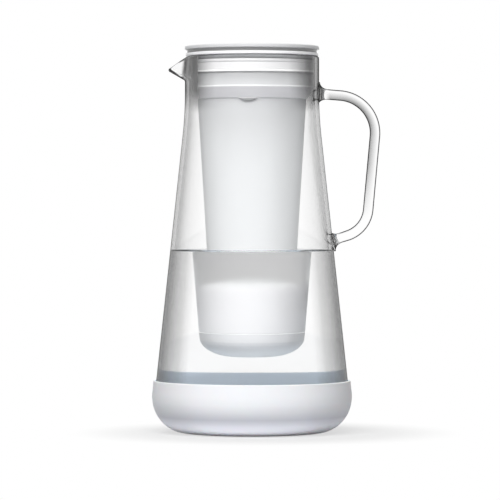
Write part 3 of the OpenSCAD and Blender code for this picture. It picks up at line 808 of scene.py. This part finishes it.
# %% A second finish for the faces inside
def paint_inside(piece):
    """Give the faces that look at the upright axis the second material."""
    faces = piece.data.polygons
    middle = np.empty(len(faces) * 3)
    normal = np.empty(len(faces) * 3)
    faces.foreach_get("center", middle)
    faces.foreach_get("normal", normal)
    inward = (middle.reshape(-1, 3) * normal.reshape(-1, 3))[:, :2].sum(axis=1) < 0
    faces.foreach_set("material_index", inward.astype(np.int32))
    print(piece.name, "has", int(inward.sum()), "faces inside")


# %% [markdown]
# ### Glass
#
# Borosilicate glass, blown and fire polished: clear, with an IOR of 1.47 and no roughness. Where
# the eye looks along the wall instead of through it, the glass is many times thicker and turns
# grey. Volume absorption gives that too, but is slow and noisy here, so a ramp over the facing
# angle darkens the glass's edges. The ramp is partly that thicker glass and partly painted shade
# for the dark surroundings that the edges of clear glass show. Lamps shine through it to what is
# inside: for shadow rays the glass is plainly transparent. Still water is the same kind of clear
# solid, with an IOR of 1.33.

# %% Clear materials
def lit_through(tree, body, colour, output):
    """Show a shader to the eye, and let lighting rays pass it as a coloured sheet."""
    path = add_node(tree, "ShaderNodeLightPath")
    sheet = add_node(tree, "ShaderNodeBsdfTransparent", {"Color": colour})
    for ray in ("Is Shadow Ray", "Is Diffuse Ray"):
        body = add_node(tree, "ShaderNodeMixShader", {
            0: path.outputs[ray], 1: body.outputs[0], 2: sheet.outputs[0]})
    tree.links.new(body.outputs[0], output.inputs["Surface"])


def clear_material(name, ior, tint):
    """A clear solid: glass for the eye, and plainly transparent for the lamps' shadow rays and for
    light that pieces inside it scatter or gather. `tint` makes its colour in the node tree."""
    material, tree, output = new_material(name)
    body = add_node(tree, "ShaderNodeBsdfGlass", {
        "Color": tint(tree), "Roughness": 0.0, "IOR": ior})
    lit_through(tree, body, linear("#FFFFFF"), output)
    return material


# %% Blown glass of the jug
# painted shade in part: the wall, the neck and the spout darken toward their edges
wall_stops = [
    (0.0, "#FFFFFF"), (0.22, "#FFFFFF"), (0.3, "#FCFCFC"), (0.4, "#F8F8F8"), (0.48, "#F3F3F3"),
    (0.58, "#E8E8E8"), (0.66, "#DCDCDC"), (0.72, "#D0D0D0"), (0.85, "#CCCCCC"), (0.92, "#707070"),
    (1.0, "#282828"),
]
neck_stops = [
    (0.0, "#FFFFFF"), (0.16, "#FFFFFF"), (0.25, "#ECECEC"), (0.35, "#CACACA"), (0.42, "#B2B2B2"),
    (0.5, "#A4A4A4"), (0.6, "#C0C0C0"), (0.7, "#C8C8C8"), (0.8, "#909090"), (0.88, "#505050"),
    (1.0, "#303030"),
]
spout_stops = [
    (0.0, "#FFFFFF"), (0.5, "#FFFFFF"), (0.58, "#D8D8D8"), (0.64, "#606060"), (0.7, "#181818"),
    (1.0, "#101010"),
]
# where the neck's ramp and the spout's ramp set in, and where each is full
neck_tint_z = (shoulder_z + 1, shoulder_z + 16)
spout_tint_r = (neck_r + 0.3, neck_r + 1.5)


def jug_tint(tree):
    """The wall's ramp, a darker one for the neck, and the darkest for the spout's bends: all of
    them partly painted shade on the edges.
    """
    place = add_node(tree, "ShaderNodeTexCoord")
    axes = add_node(tree, "ShaderNodeSeparateXYZ", {0: place.outputs["Object"]})
    on_neck = add_node(tree, "ShaderNodeMapRange", {
        "Value": axes.outputs["Z"],
        "From Min": neck_tint_z[0] * MM, "From Max": neck_tint_z[1] * MM})
    on_spout = add_node(tree, "ShaderNodeMapRange", {
        "Value": axes.outputs["X"],
        "From Min": -spout_tint_r[0] * MM, "From Max": -spout_tint_r[1] * MM})
    neck = add_node(tree, "ShaderNodeMix", {
        0: on_spout.outputs["Result"],
        FIRST: facing_ramp(tree, neck_stops),
        SECOND: facing_ramp(tree, spout_stops),
    }, data_type="RGBA")
    whole = add_node(tree, "ShaderNodeMix", {
        0: on_neck.outputs["Result"],
        FIRST: facing_ramp(tree, wall_stops),
        SECOND: neck.outputs[MIXED],
    }, data_type="RGBA")
    return whole.outputs[MIXED]


finish(jug, clear_material("borosilicate_glass_blown", 1.47, jug_tint))

# %% Glass rod of the handle
# the rod and its melted ends darken toward their edges, partly painted shade as on the jug
rod_stops = [
    (0.0, "#FFFFFF"), (0.32, "#FFFFFF"), (0.4, "#C8C8C8"), (0.5, "#606060"), (0.62, "#202020"),
    (1.0, "#101010"),
]
weld_stops = [
    (0.0, "#FFFFFF"), (0.5, "#FFFFFF"), (0.62, "#A0A0A0"), (0.72, "#303030"), (1.0, "#181818"),
]
# x + lean * height is about the same, 66 to 67 mm, at both places where the rod meets the jug, and
# the rod's melted ends reach to between these two values
wall_lean = 0.085
weld_end = (70.5, 73.5)
# the side of the rod with painted shade looks this way; how far a face must turn that way, and
# how high it must be
grey_way = (-0.75, 0.0, -0.75)
grey_turn = (-0.4, 0.85)
grey_z = (146.0, 185.0)


def rod_painted_shade(tree, place, axes):
    """How much painted shade greys the rod's side toward the jug: 0 to 1. It counts only where
    light enters the rod, because the tint of a clear solid acts once going in and once coming out."""
    toward_jug = add_node(tree, "ShaderNodeVectorMath", {
        0: place.outputs["Normal"], 1: grey_way}, operation="DOT_PRODUCT")
    facing_jug = add_node(tree, "ShaderNodeMapRange", {
        "Value": toward_jug.outputs["Value"], "From Min": grey_turn[0], "From Max": grey_turn[1]})
    high_up = add_node(tree, "ShaderNodeMapRange", {
        "Value": axes.outputs["Z"], "From Min": grey_z[0] * MM, "From Max": grey_z[1] * MM})
    grey = add_node(tree, "ShaderNodeMath", {
        0: facing_jug.outputs["Result"], 1: high_up.outputs["Result"]}, operation="MULTIPLY")
    side = add_node(tree, "ShaderNodeNewGeometry")
    entering = add_node(tree, "ShaderNodeMath", {
        0: 1.0, 1: side.outputs["Backfacing"]}, operation="SUBTRACT")
    share = add_node(tree, "ShaderNodeMath", {
        0: grey.outputs[0], 1: entering.outputs[0]}, operation="MULTIPLY")
    return share.outputs[0]


def rod_tint(tree):
    """The rod has dark edges, painted shade greys its side toward the jug, and its melted ends are
    clear with dark edges. The dark edges are partly painted shade too."""
    place = add_node(tree, "ShaderNodeTexCoord")
    axes = add_node(tree, "ShaderNodeSeparateXYZ", {0: place.outputs["Object"]})
    from_wall = add_node(tree, "ShaderNodeMath", {
        0: axes.outputs["Z"], 1: wall_lean, 2: axes.outputs["X"]}, operation="MULTIPLY_ADD")
    past_weld = add_node(tree, "ShaderNodeMapRange", {
        "Value": from_wall.outputs[0], "From Min": weld_end[0] * MM, "From Max": weld_end[1] * MM})
    shaded = add_node(tree, "ShaderNodeMix", {
        0: rod_painted_shade(tree, place, axes), FIRST: linear("#FFFFFF"), SECOND: linear("#8A8A8A"),
    }, data_type="RGBA")
    rod = add_node(tree, "ShaderNodeMix", {
        0: 1.0, FIRST: facing_ramp(tree, rod_stops), SECOND: shaded.outputs[MIXED],
    }, data_type="RGBA", blend_type="MULTIPLY")
    whole = add_node(tree, "ShaderNodeMix", {
        0: past_weld.outputs["Result"],
        FIRST: facing_ramp(tree, weld_stops),
        SECOND: rod.outputs[MIXED],
    }, data_type="RGBA")
    return whole.outputs[MIXED]


finish(handle, clear_material("borosilicate_glass_rod", 1.47, rod_tint))

# %% Water
# drinking water, still and clear: seen along its side it is painted a little grey, a painted
# shade for the darker surroundings bent into view at its edges
water_stops = [
    (0.0, "#FFFFFF"), (0.122, "#FFFFFF"), (0.14, "#F6F6F6"), (0.15, "#F0F0F0"), (0.161, "#E7E7E7"),
    (0.171, "#DEDEDE"), (0.19, "#D6D6D6"), (0.234, "#C4C4C4"), (0.26, "#BDBDBD"), (1.0, "#B0B0B0"),
]
# how upright a face's normal is where the side ends and the level top begins
level_tilt = (0.2, 0.35)


def water_tint(tree):
    """The ramp belongs to the upright side of the water. Its level top stays clear."""
    place = add_node(tree, "ShaderNodeTexCoord")
    tilt = add_node(tree, "ShaderNodeSeparateXYZ", {0: place.outputs["Normal"]})
    upright = add_node(tree, "ShaderNodeMath", {0: tilt.outputs["Z"]}, operation="ABSOLUTE")
    level = add_node(tree, "ShaderNodeMapRange", {
        "Value": upright.outputs[0], "From Min": level_tilt[0], "From Max": level_tilt[1]})
    whole = add_node(tree, "ShaderNodeMix", {
        0: level.outputs["Result"],
        FIRST: facing_ramp(tree, water_stops),
        SECOND: linear("#F4F6F7"),
    }, data_type="RGBA")
    return whole.outputs[MIXED]


finish(water, clear_material("drinking_water_clear", 1.33, water_tint))

# %% [markdown]
# ### Silicone and moulded plastics
#
# Compression-moulded silicone rubber: opaque white, soft to look at, with a broad dull highlight
# and a very fine matt texture from the mould. A little light wanders under its surface. The hard
# plastics share its recipe: a mould's fine grain, and a paint that may change with the height.
# That paint is painted shade and painted light: it greys or lightens the same white where a rim,
# a groove, an overhang or the water nearby would change how light falls. A real mould's grain is
# finer than 0.1 mm, so it is drawn at 0.5 mm or more, or it wouldn't show.

# %% Moulded solids
cloud_mm = 40.0


def moulded_material(name, paint, roughness, grain_mm, grain_height_mm, under=0.0, ior=1.41):
    """A moulded solid whose surface has grains of the given width and height. The paint is one
    hex colour or a list of stops along the height, and wide soft clouds keep it from looking
    flat."""
    material, tree, output = new_material(name)
    place = add_node(tree, "ShaderNodeTexCoord")
    grain = add_node(tree, "ShaderNodeTexNoise", {
        "Vector": place.outputs["Object"], "Scale": 1 / (grain_mm * MM),
        "Detail": 3.0, "Roughness": 0.6,
    })
    relief = add_node(tree, "ShaderNodeBump", {
        "Height": grain.outputs["Fac"], "Strength": 0.35, "Distance": grain_height_mm * MM,
    })
    cloud = add_node(tree, "ShaderNodeTexNoise", {
        "Vector": place.outputs["Object"], "Scale": 1 / (cloud_mm * MM), "Detail": 2.0,
    })
    shade = add_node(tree, "ShaderNodeMapRange", {"Value": cloud.outputs["Fac"], "To Min": 0.98})
    base = height_ramp(tree, paint) if isinstance(paint, list) else linear(paint)
    colour = add_node(tree, "ShaderNodeMix", {
        0: 1.0, FIRST: base, SECOND: shade.outputs["Result"],
    }, data_type="RGBA", blend_type="MULTIPLY")
    body = add_node(tree, "ShaderNodeBsdfPrincipled", {
        "Base Color": colour.outputs[MIXED], "Roughness": roughness, "IOR": ior,
        "Normal": relief.outputs["Normal"],
        "Subsurface Weight": under, "Subsurface Scale": 1.5 * MM,
    })
    tree.links.new(body.outputs[0], output.inputs["Surface"])
    return material


# %% Silicone boot and gasket
# white and matt outside, with a painted shade band round 12 mm up and painted light near the foot
boot_painted_shade = [
    (3.0, "#FCFEFF"), (7.0, "#F2F4F7"), (12.0, "#D2D4D8"), (17.0, "#E7E9EA"), (22.0, "#F2F4F5"),
]
finish(boot, moulded_material("silicone_boot_matt", boot_painted_shade, 0.55, 0.5, 0.02, under=0.1))
# the inner face is painted a darker blue-grey: painted shade, with a blue tone for the glass and
# water in front of it
boot.data.materials.append(moulded_material("silicone_boot_inside_shaded", "#D9E4EF", 0.45, 0.5, 0.01))
paint_inside(boot)
# the neck's gasket: a smoother silicone, paler than the ring that carries it
gasket_silicone = moulded_material("silicone_gasket", "#F4F4F3", 0.42, 0.6, 0.01)
finish(gasket, gasket_silicone)

# %% Copolyester ring and tab
# white copolyester, moulded smooth, pale at its rims and its foot; painted shade greys the wall
# under the flange, the straight part that carries the gasket, and all below the foot, where the
# spigot and the tab sit
ring_painted_shade = [
    (ring_foot_z - 3, "#A2A3A3"), (ring_foot_z - 0.3, "#A2A3A3"), (ring_foot_z, "#FAFAFA"),
    (taper_z, "#FAFAFA"), (taper_z + 1.5, "#E0E1E1"), (groove_low_z - 3, "#C6C7C7"),
    (groove_top_z, "#8E8F8F"), (flange_z - 1.4, "#DCDDDD"), (flange_z - 0.2, "#F4F5F5"),
    (flange_z, "#FCFCFC"),
]
ring_plastic = moulded_material("copolyester_ring_satin", ring_painted_shade, 0.3, 0.8, 0.005, ior=1.55)
finish(ring, ring_plastic)
finish(tab, ring_plastic)

# %% [markdown]
# ### Frosted plastic
#
# The cone is moulded in a frosted mould. Dry, its rough surface scatters light and looks white.
# Under water the frosting is filled and the wall turns grey and lets the cartridge show softly.
# Further down the cartridge lies close behind the wall and shows over its whole width. One rough
# glass shader would stay too dark for all of this, so the wall blends a scattering, a clear and a
# nearly white finish by its height.

# %% The wet wall
# heights between which the cartridge comes close behind the wall, and between which the wall
# turns fully white
backed_z = (103.0, 98.0)
white_z = (86.0, 80.0)
haze_stops = [(0.0, "#606060"), (0.3, "#747474"), (0.6, "#C0C0C0"), (0.8, "#FAFAFA")]


def wet_outer_wall(tree, height, clear, dry):
    """The outer face of a wet wall scatters some light, more where it is seen at a slant. Where
    the cartridge backs it, the film takes the place of the scattered light."""
    backed = add_node(tree, "ShaderNodeMapRange", {
        "Value": height, "From Min": backed_z[0] * MM, "From Max": backed_z[1] * MM})
    white = add_node(tree, "ShaderNodeMapRange", {
        "Value": height, "From Min": white_z[0] * MM, "From Max": white_z[1] * MM})
    haze = add_node(tree, "ShaderNodeMix", {
        0: backed.outputs["Result"],
        FIRST: facing_ramp(tree, haze_stops),
        SECOND: linear("#ECECEC"),
    }, data_type="RGBA")
    cover_share = add_node(tree, "ShaderNodeMix", {
        0: white.outputs["Result"], FIRST: haze.outputs[MIXED], SECOND: linear("#FFFFFF"),
    }, data_type="RGBA")
    film = add_node(tree, "ShaderNodeBsdfPrincipled", {
        "Base Color": linear("#FFFFFF"), "Roughness": 0.6, "IOR": 1.1,
        "Sheen Weight": 1.0, "Sheen Roughness": 0.7,
    })
    cover = add_node(tree, "ShaderNodeMixShader", {
        0: backed.outputs["Result"], 1: dry.outputs[0], 2: film.outputs[0]})
    return add_node(tree, "ShaderNodeMixShader", {
        0: cover_share.outputs[MIXED], 1: clear.outputs[0], 2: cover.outputs[0]})


def wet_inner_wall(tree, clear):
    """An inner face is clear from behind, and a ray that comes from inside the cone meets it as
    the dull far wall."""
    side = add_node(tree, "ShaderNodeNewGeometry")
    far_wall = add_node(tree, "ShaderNodeBsdfDiffuse", {"Color": linear("#D8D6D6")})
    return add_node(tree, "ShaderNodeMixShader", {
        0: side.outputs["Backfacing"], 1: far_wall.outputs[0], 2: clear.outputs[0]})


# %% Frosted cone, dry above the water and wet below
# styrene-acrylonitrile from a blasted mould; the frosting's grain is drawn at 0.6 mm, coarser than
# the real one, so that it shows
frost_mm = 0.6
# the share of a dry wall's light that passes through it
dry_through = 0.4
waterline_half = 0.4
wet_z = (water_z + waterline_half, water_z - waterline_half)


def frosted_material(name, inside):
    """Frosted plastic: the dry wall scatters light back and through, and below the water's level
    it changes to the wet wall."""
    material, tree, output = new_material(name)
    place = add_node(tree, "ShaderNodeTexCoord")
    height = add_node(tree, "ShaderNodeSeparateXYZ", {0: place.outputs["Object"]}).outputs["Z"]
    wet = add_node(tree, "ShaderNodeMapRange", {
        "Value": height, "From Min": wet_z[0] * MM, "From Max": wet_z[1] * MM}).outputs["Result"]
    frost = add_node(tree, "ShaderNodeTexNoise", {
        "Vector": place.outputs["Object"], "Scale": 1 / (frost_mm * MM)})
    relief = add_node(tree, "ShaderNodeBump", {
        "Height": frost.outputs["Fac"], "Strength": 0.2, "Distance": 0.01 * MM})
    front = add_node(tree, "ShaderNodeBsdfPrincipled", {
        "Base Color": linear("#FBFCFC"), "Roughness": 0.5, "IOR": 1.5,
        "Normal": relief.outputs["Normal"]})
    through = add_node(tree, "ShaderNodeBsdfTranslucent", {"Color": linear("#FBFCFC")})
    dry = add_node(tree, "ShaderNodeMixShader", {
        0: dry_through, 1: front.outputs[0], 2: through.outputs[0]})
    clear = add_node(tree, "ShaderNodeBsdfRefraction", {
        "Color": linear("#FDFDFD"), "Roughness": 0.3, "IOR": 1.5,
        "Normal": relief.outputs["Normal"]})
    wall = wet_inner_wall(tree, clear) if inside else wet_outer_wall(tree, height, clear, dry)
    both = add_node(tree, "ShaderNodeMixShader", {0: wet, 1: dry.outputs[0], 2: wall.outputs[0]})
    passing = add_node(tree, "ShaderNodeMix", {
        0: wet, FIRST: linear("#F0F1F1"), SECOND: linear("#FDFDFD")}, data_type="RGBA")
    lit_through(tree, both, passing.outputs[MIXED], output)
    return material


finish(cone, frosted_material("san_plastic_frosted", False))
cone.data.materials.append(frosted_material("san_plastic_frosted_inside", True))
paint_inside(cone)

# %% [markdown]
# ### The pieces that keep the frame's own meshes
#
# The cartridge, the filter and the lid are well described by the frame's meshes, so they keep them
# and only get a finish. Most are moulded solids of one colour. The filter's fillings are beds of
# grains or fibres, so their grain is coarse and deep.

# %% Polypropylene, ABS and seals
# polypropylene: opaque white with a satin sheen; the dome's top is painted a touch greyer, a
# painted shade that tones down the light falling on it from above
white_plastic = moulded_material("pp_cartridge_white", [
    (90.0, "#FDFEFE"), (99.0, "#F8F9F9"), (105.0, "#F0F2F2"),
], 0.4, 0.7, 0.006, ior=1.49)
cup_plastic = moulded_material("pp_cup_white", "#FBFCFC", 0.4, 0.7, 0.006, ior=1.49)
# ABS: pale grey with a clear soft highlight; painted shade darkens it in the groove under the disc
lid_t = 2.6
groove_shade_blend = 0.05
disc_low_z = lid_high[2] - lid_t
lid_plastic = moulded_material("abs_lid_satin", [
    (flange_top_z - 0.02, "#D9DADA"), (flange_top_z, "#A6A6A5"),
    (disc_low_z - groove_shade_blend, "#A6A6A5"), (disc_low_z, "#D9DADA"),
], 0.32, 0.7, 0.006, ior=1.53)
door_plastic = moulded_material("abs_door_satin", "#D9DADA", 0.32, 0.7, 0.006, ior=1.53)
# unfilled silicone: milky and slightly glossy
seal_rubber = moulded_material("silicone_seal_clear_white", "#E4E6E7", 0.4, 0.5, 0.006, ior=1.41)

# %% Fillings of the filters
# cast polyurethane: honey pale and smooth
potting = moulded_material("polyurethane_potting", "#E9E2C8", 0.25, 1.0, 0.01, under=0.2, ior=1.5)
# spun polysulfone: cream and matt, with a hair-fine texture, drawn twice as coarse to show
fibre = moulded_material("polysulfone_fibre", "#F4F1E6", 0.6, 0.15, 0.01, ior=1.6)
# pressed polypropylene fibres: white without any shine, and drawn some four times too coarse
fleece = moulded_material("polypropylene_fleece", "#F7F7F5", 0.9, 0.12, 0.05, ior=1.49)
# activated carbon: black granules of 0.9 mm with a dull glint
carbon = moulded_material("activated_carbon_granules", "#222224", 0.7, 0.9, 0.5, ior=1.8)
# ion exchange resin: amber beads of 0.7 mm, a little glossy
resin = moulded_material("ion_resin_beads", "#D9A95A", 0.35, 0.7, 0.3, ior=1.5)

# %% Finish the frame's nodes
finishes = {
    "membrane_housing": white_plastic, "membrane_base": white_plastic,
    "carbon_cup": cup_plastic, "carbon_cap": cup_plastic,
    "lid_cover": lid_plastic, "filling_door": door_plastic,
    "ring_seal": seal_rubber, "membrane_seal": seal_rubber, "cap_seal": seal_rubber,
    "potting_plug": potting, "hollow_fibres": fibre,
    "inlet_fleece": fleece, "outlet_fleece": fleece,
    "carbon_bed": carbon, "ion_resin_bed": resin,
    "lid_gasket": gasket_silicone, "door_gasket": gasket_silicone,
}
for node_name, material in finishes.items():
    finish(nodes[node_name], material)


# %% Drawn steel pins
# real drawing marks are finer, and these are drawn coarse enough to show
drawing_mark_mm = 0.2
# and this much longer than wide
mark_length = 20


def steel_material():
    """Stainless steel wire: bright metal whose drawing marks run along the pins."""
    material, tree, output = new_material("stainless_steel_pin")
    place = add_node(tree, "ShaderNodeTexCoord")
    stretch = add_node(tree, "ShaderNodeMapping", {
        "Vector": place.outputs["Object"], "Scale": (1.0, 1 / mark_length, 1.0)})
    drawn = add_node(tree, "ShaderNodeTexNoise", {
        "Vector": stretch.outputs[0], "Scale": 1 / (drawing_mark_mm * MM)})
    rough = add_node(tree, "ShaderNodeMapRange", {
        "Value": drawn.outputs["Fac"], "To Min": 0.2, "To Max": 0.34})
    body = add_node(tree, "ShaderNodeBsdfPrincipled", {
        "Base Color": linear("#C3C4C6"), "Metallic": 1.0, "Roughness": rough.outputs["Result"],
    })
    tree.links.new(body.outputs[0], output.inputs["Surface"])
    return material


finish(nodes["hinge_pins"], steel_material())

# %% [markdown]
# ## Stage, light and camera
#
# A white table and a white world stand behind the pitcher. More light could make them white, but it
# would wash out the pitcher too. So rays that the eye follows directly, or through glass, or off a
# glossy surface, see white, and the light that falls on the pitcher comes from a dimmer world and
# from soft lamps. The backdrop stays white and the pieces keep their shading.

# %% Table
table_half = 4.0
corners = [(x * table_half, y * table_half, 0) for x, y in ((-1, -1), (1, -1), (1, 1), (-1, 1))]
table_mesh = bpy.data.meshes.new("table_top")
table_mesh.from_pydata(corners, [], [(0, 1, 2, 3)])
table = bpy.data.objects.new("table_top", table_mesh)
bpy.context.scene.collection.objects.link(table)
print("the table is", 2 * table_half, "m wide")


# %% What the eye sees, and what the pitcher is lit by
def seen_directly(tree):
    """1 for a ray from the eye, straight or through glass or off gloss, and 0 for lighting rays."""
    path = add_node(tree, "ShaderNodeLightPath")
    either = add_node(tree, "ShaderNodeMath", {
        0: path.outputs["Is Camera Ray"], 1: path.outputs["Is Glossy Ray"]}, operation="MAXIMUM")
    any_of = add_node(tree, "ShaderNodeMath", {
        0: either.outputs[0], 1: path.outputs["Is Transmission Ray"]}, operation="MAXIMUM")
    early = add_node(tree, "ShaderNodeMath", {
        0: path.outputs["Diffuse Depth"], 1: 0.5}, operation="LESS_THAN")
    both = add_node(tree, "ShaderNodeMath", {
        0: any_of.outputs[0], 1: early.outputs[0]}, operation="MULTIPLY")
    return both.outputs[0]


# %% Light that the table throws back
# the pale light: how far round to the front it starts and is full, as y over the distance from the
# axis, and the distances in metres between which it also sets in at the sides
front_from, front_full = -0.35, -0.85
close_from, close_full = 0.18, 0.07
close_most = 0.8


def table_bounce(tree, place, away):
    """The colour of the light that the table throws back: pale close to the pitcher and in front
    of it, and dark at both sides, as if black cards stood there and gave white pieces edges."""
    axes = add_node(tree, "ShaderNodeSeparateXYZ", {0: place})
    toward = add_node(tree, "ShaderNodeMath", {0: axes.outputs["Y"], 1: away}, operation="DIVIDE")
    in_front = add_node(tree, "ShaderNodeMapRange", {
        "Value": toward.outputs[0], "From Min": front_from, "From Max": front_full,
    }, interpolation_type="SMOOTHSTEP")
    close = add_node(tree, "ShaderNodeMapRange", {
        "Value": away, "From Min": close_from, "From Max": close_full, "To Max": close_most,
    }, interpolation_type="SMOOTHSTEP")
    pale = add_node(tree, "ShaderNodeMath", {
        0: in_front.outputs["Result"], 1: close.outputs["Result"]}, operation="MAXIMUM")
    colour = add_node(tree, "ShaderNodeMix", {
        0: pale.outputs[0], FIRST: linear("#585858"), SECOND: linear("#F4F4FA")}, data_type="RGBA")
    return colour.outputs[MIXED]


# %% White table
# painted shade: a grey pool round the pitcher's foot. Its middle, and the distances at which it
# starts to fade and ends, in metres
shade_pool_middle = (0.010, -0.005, 0.0)
shade_pool_from, shade_pool_end = 0.07, 0.14


def table_material():
    """White lacquer. Near the pitcher the table is painted a little grey, a pool of painted shade,
    and it keeps its real shadow from the lamps. The painted shade lies a little toward the handle,
    and further out it runs into the white backdrop."""
    material, tree, output = new_material("table_white_lacquer")
    place = add_node(tree, "ShaderNodeTexCoord").outputs["Object"]
    away = add_node(tree, "ShaderNodeVectorMath", {0: place}, operation="LENGTH").outputs["Value"]
    from_middle = add_node(tree, "ShaderNodeVectorMath", {
        0: place, 1: shade_pool_middle}, operation="DISTANCE")
    fade = add_node(tree, "ShaderNodeMapRange", {
        "Value": from_middle.outputs["Value"], "From Min": shade_pool_from, "From Max": shade_pool_end,
    }, interpolation_type="SMOOTHSTEP")
    shown = add_node(tree, "ShaderNodeBsdfDiffuse", {"Color": linear("#767676")})
    lit = add_node(tree, "ShaderNodeEmission", {"Color": linear("#FFFFFF"), "Strength": 0.655})
    near = add_node(tree, "ShaderNodeAddShader", {0: shown.outputs[0], 1: lit.outputs[0]})
    far = add_node(tree, "ShaderNodeEmission", {"Color": linear("#FFFFFF"), "Strength": 1.0})
    seen = add_node(tree, "ShaderNodeMixShader", {
        0: fade.outputs["Result"], 1: near.outputs[0], 2: far.outputs[0]})
    bounce = add_node(tree, "ShaderNodeBsdfDiffuse", {"Color": table_bounce(tree, place, away)})
    mix = add_node(tree, "ShaderNodeMixShader", {
        0: seen_directly(tree), 1: bounce.outputs[0], 2: seen.outputs[0]})
    tree.links.new(mix.outputs[0], output.inputs["Surface"])
    return material


finish(table, table_material())

# %% World
ambient = 0.10
world = bpy.data.worlds.new("studio_world")
world.use_nodes = True
bpy.context.scene.world = world
sky = world.node_tree
sky.nodes.clear()
strength = add_node(sky, "ShaderNodeMapRange", {"Value": seen_directly(sky), "To Min": ambient})
glow = add_node(sky, "ShaderNodeBackground", {
    "Color": linear("#FFFFFF"), "Strength": strength.outputs["Result"]})
add_node(sky, "ShaderNodeOutputWorld", {"Surface": glow.outputs[0]})
print("the world lights the pitcher at", ambient, "and shows at 1")


# %% Lamps
def add_lamp(name, place, width, height, brightness, aim=(0, 0, 0.13)):
    """A soft lamp. Its power is worked out so that a white card at the aim, facing it, shows
    `brightness`: power = brightness * pi^2 * distance^2."""
    data = bpy.data.lights.new(name, "AREA")
    data.shape = "RECTANGLE"
    data.size = width
    data.size_y = height
    reach = np.linalg.norm(np.subtract(place, aim))
    data.energy = brightness * math.pi ** 2 * reach ** 2
    lamp = bpy.data.objects.new(name, data)
    bpy.context.scene.collection.objects.link(lamp)
    lamp.location = place
    lamp.rotation_euler = (Vector(aim) - Vector(place)).to_track_quat("-Z", "Y").to_euler()
    lamp.visible_glossy = False
    lamp.visible_transmission = False
    print(name, "power", round(data.energy, 1), "W")


add_lamp("key_softbox", (-0.22, -1.04, 1.58), 1.5, 0.6, 1.18)
add_lamp("back_softbox", (0.1, 1.7, 0.75), 1.4, 0.8, 0.4)

# %% Camera
# a long lens from far off, a little above the middle of the pitcher, nearly level
camera_place = (-0.00138, -2.313, 0.1535)
camera_tilt = math.radians(89.316)
camera_data = bpy.data.cameras.new("product_camera")
camera_data.lens = 241.2
camera_data.sensor_width = 36.0
camera = bpy.data.objects.new("product_camera", camera_data)
bpy.context.scene.collection.objects.link(camera)
camera.location = camera_place
camera.rotation_euler = (camera_tilt, 0.0, 0.0)
bpy.context.scene.camera = camera
print("the camera stands", round(-camera_place[1], 2), "m away")

# %% Render settings and the end
# a ray that crosses jug, water and cone and comes back meets many clear faces
light_bounces = 24
scene = bpy.context.scene
scene.view_settings.view_transform = "Standard"
scene.cycles.max_bounces = light_bounces
scene.cycles.transmission_bounces = light_bounces
scene.cycles.transparent_max_bounces = light_bounces
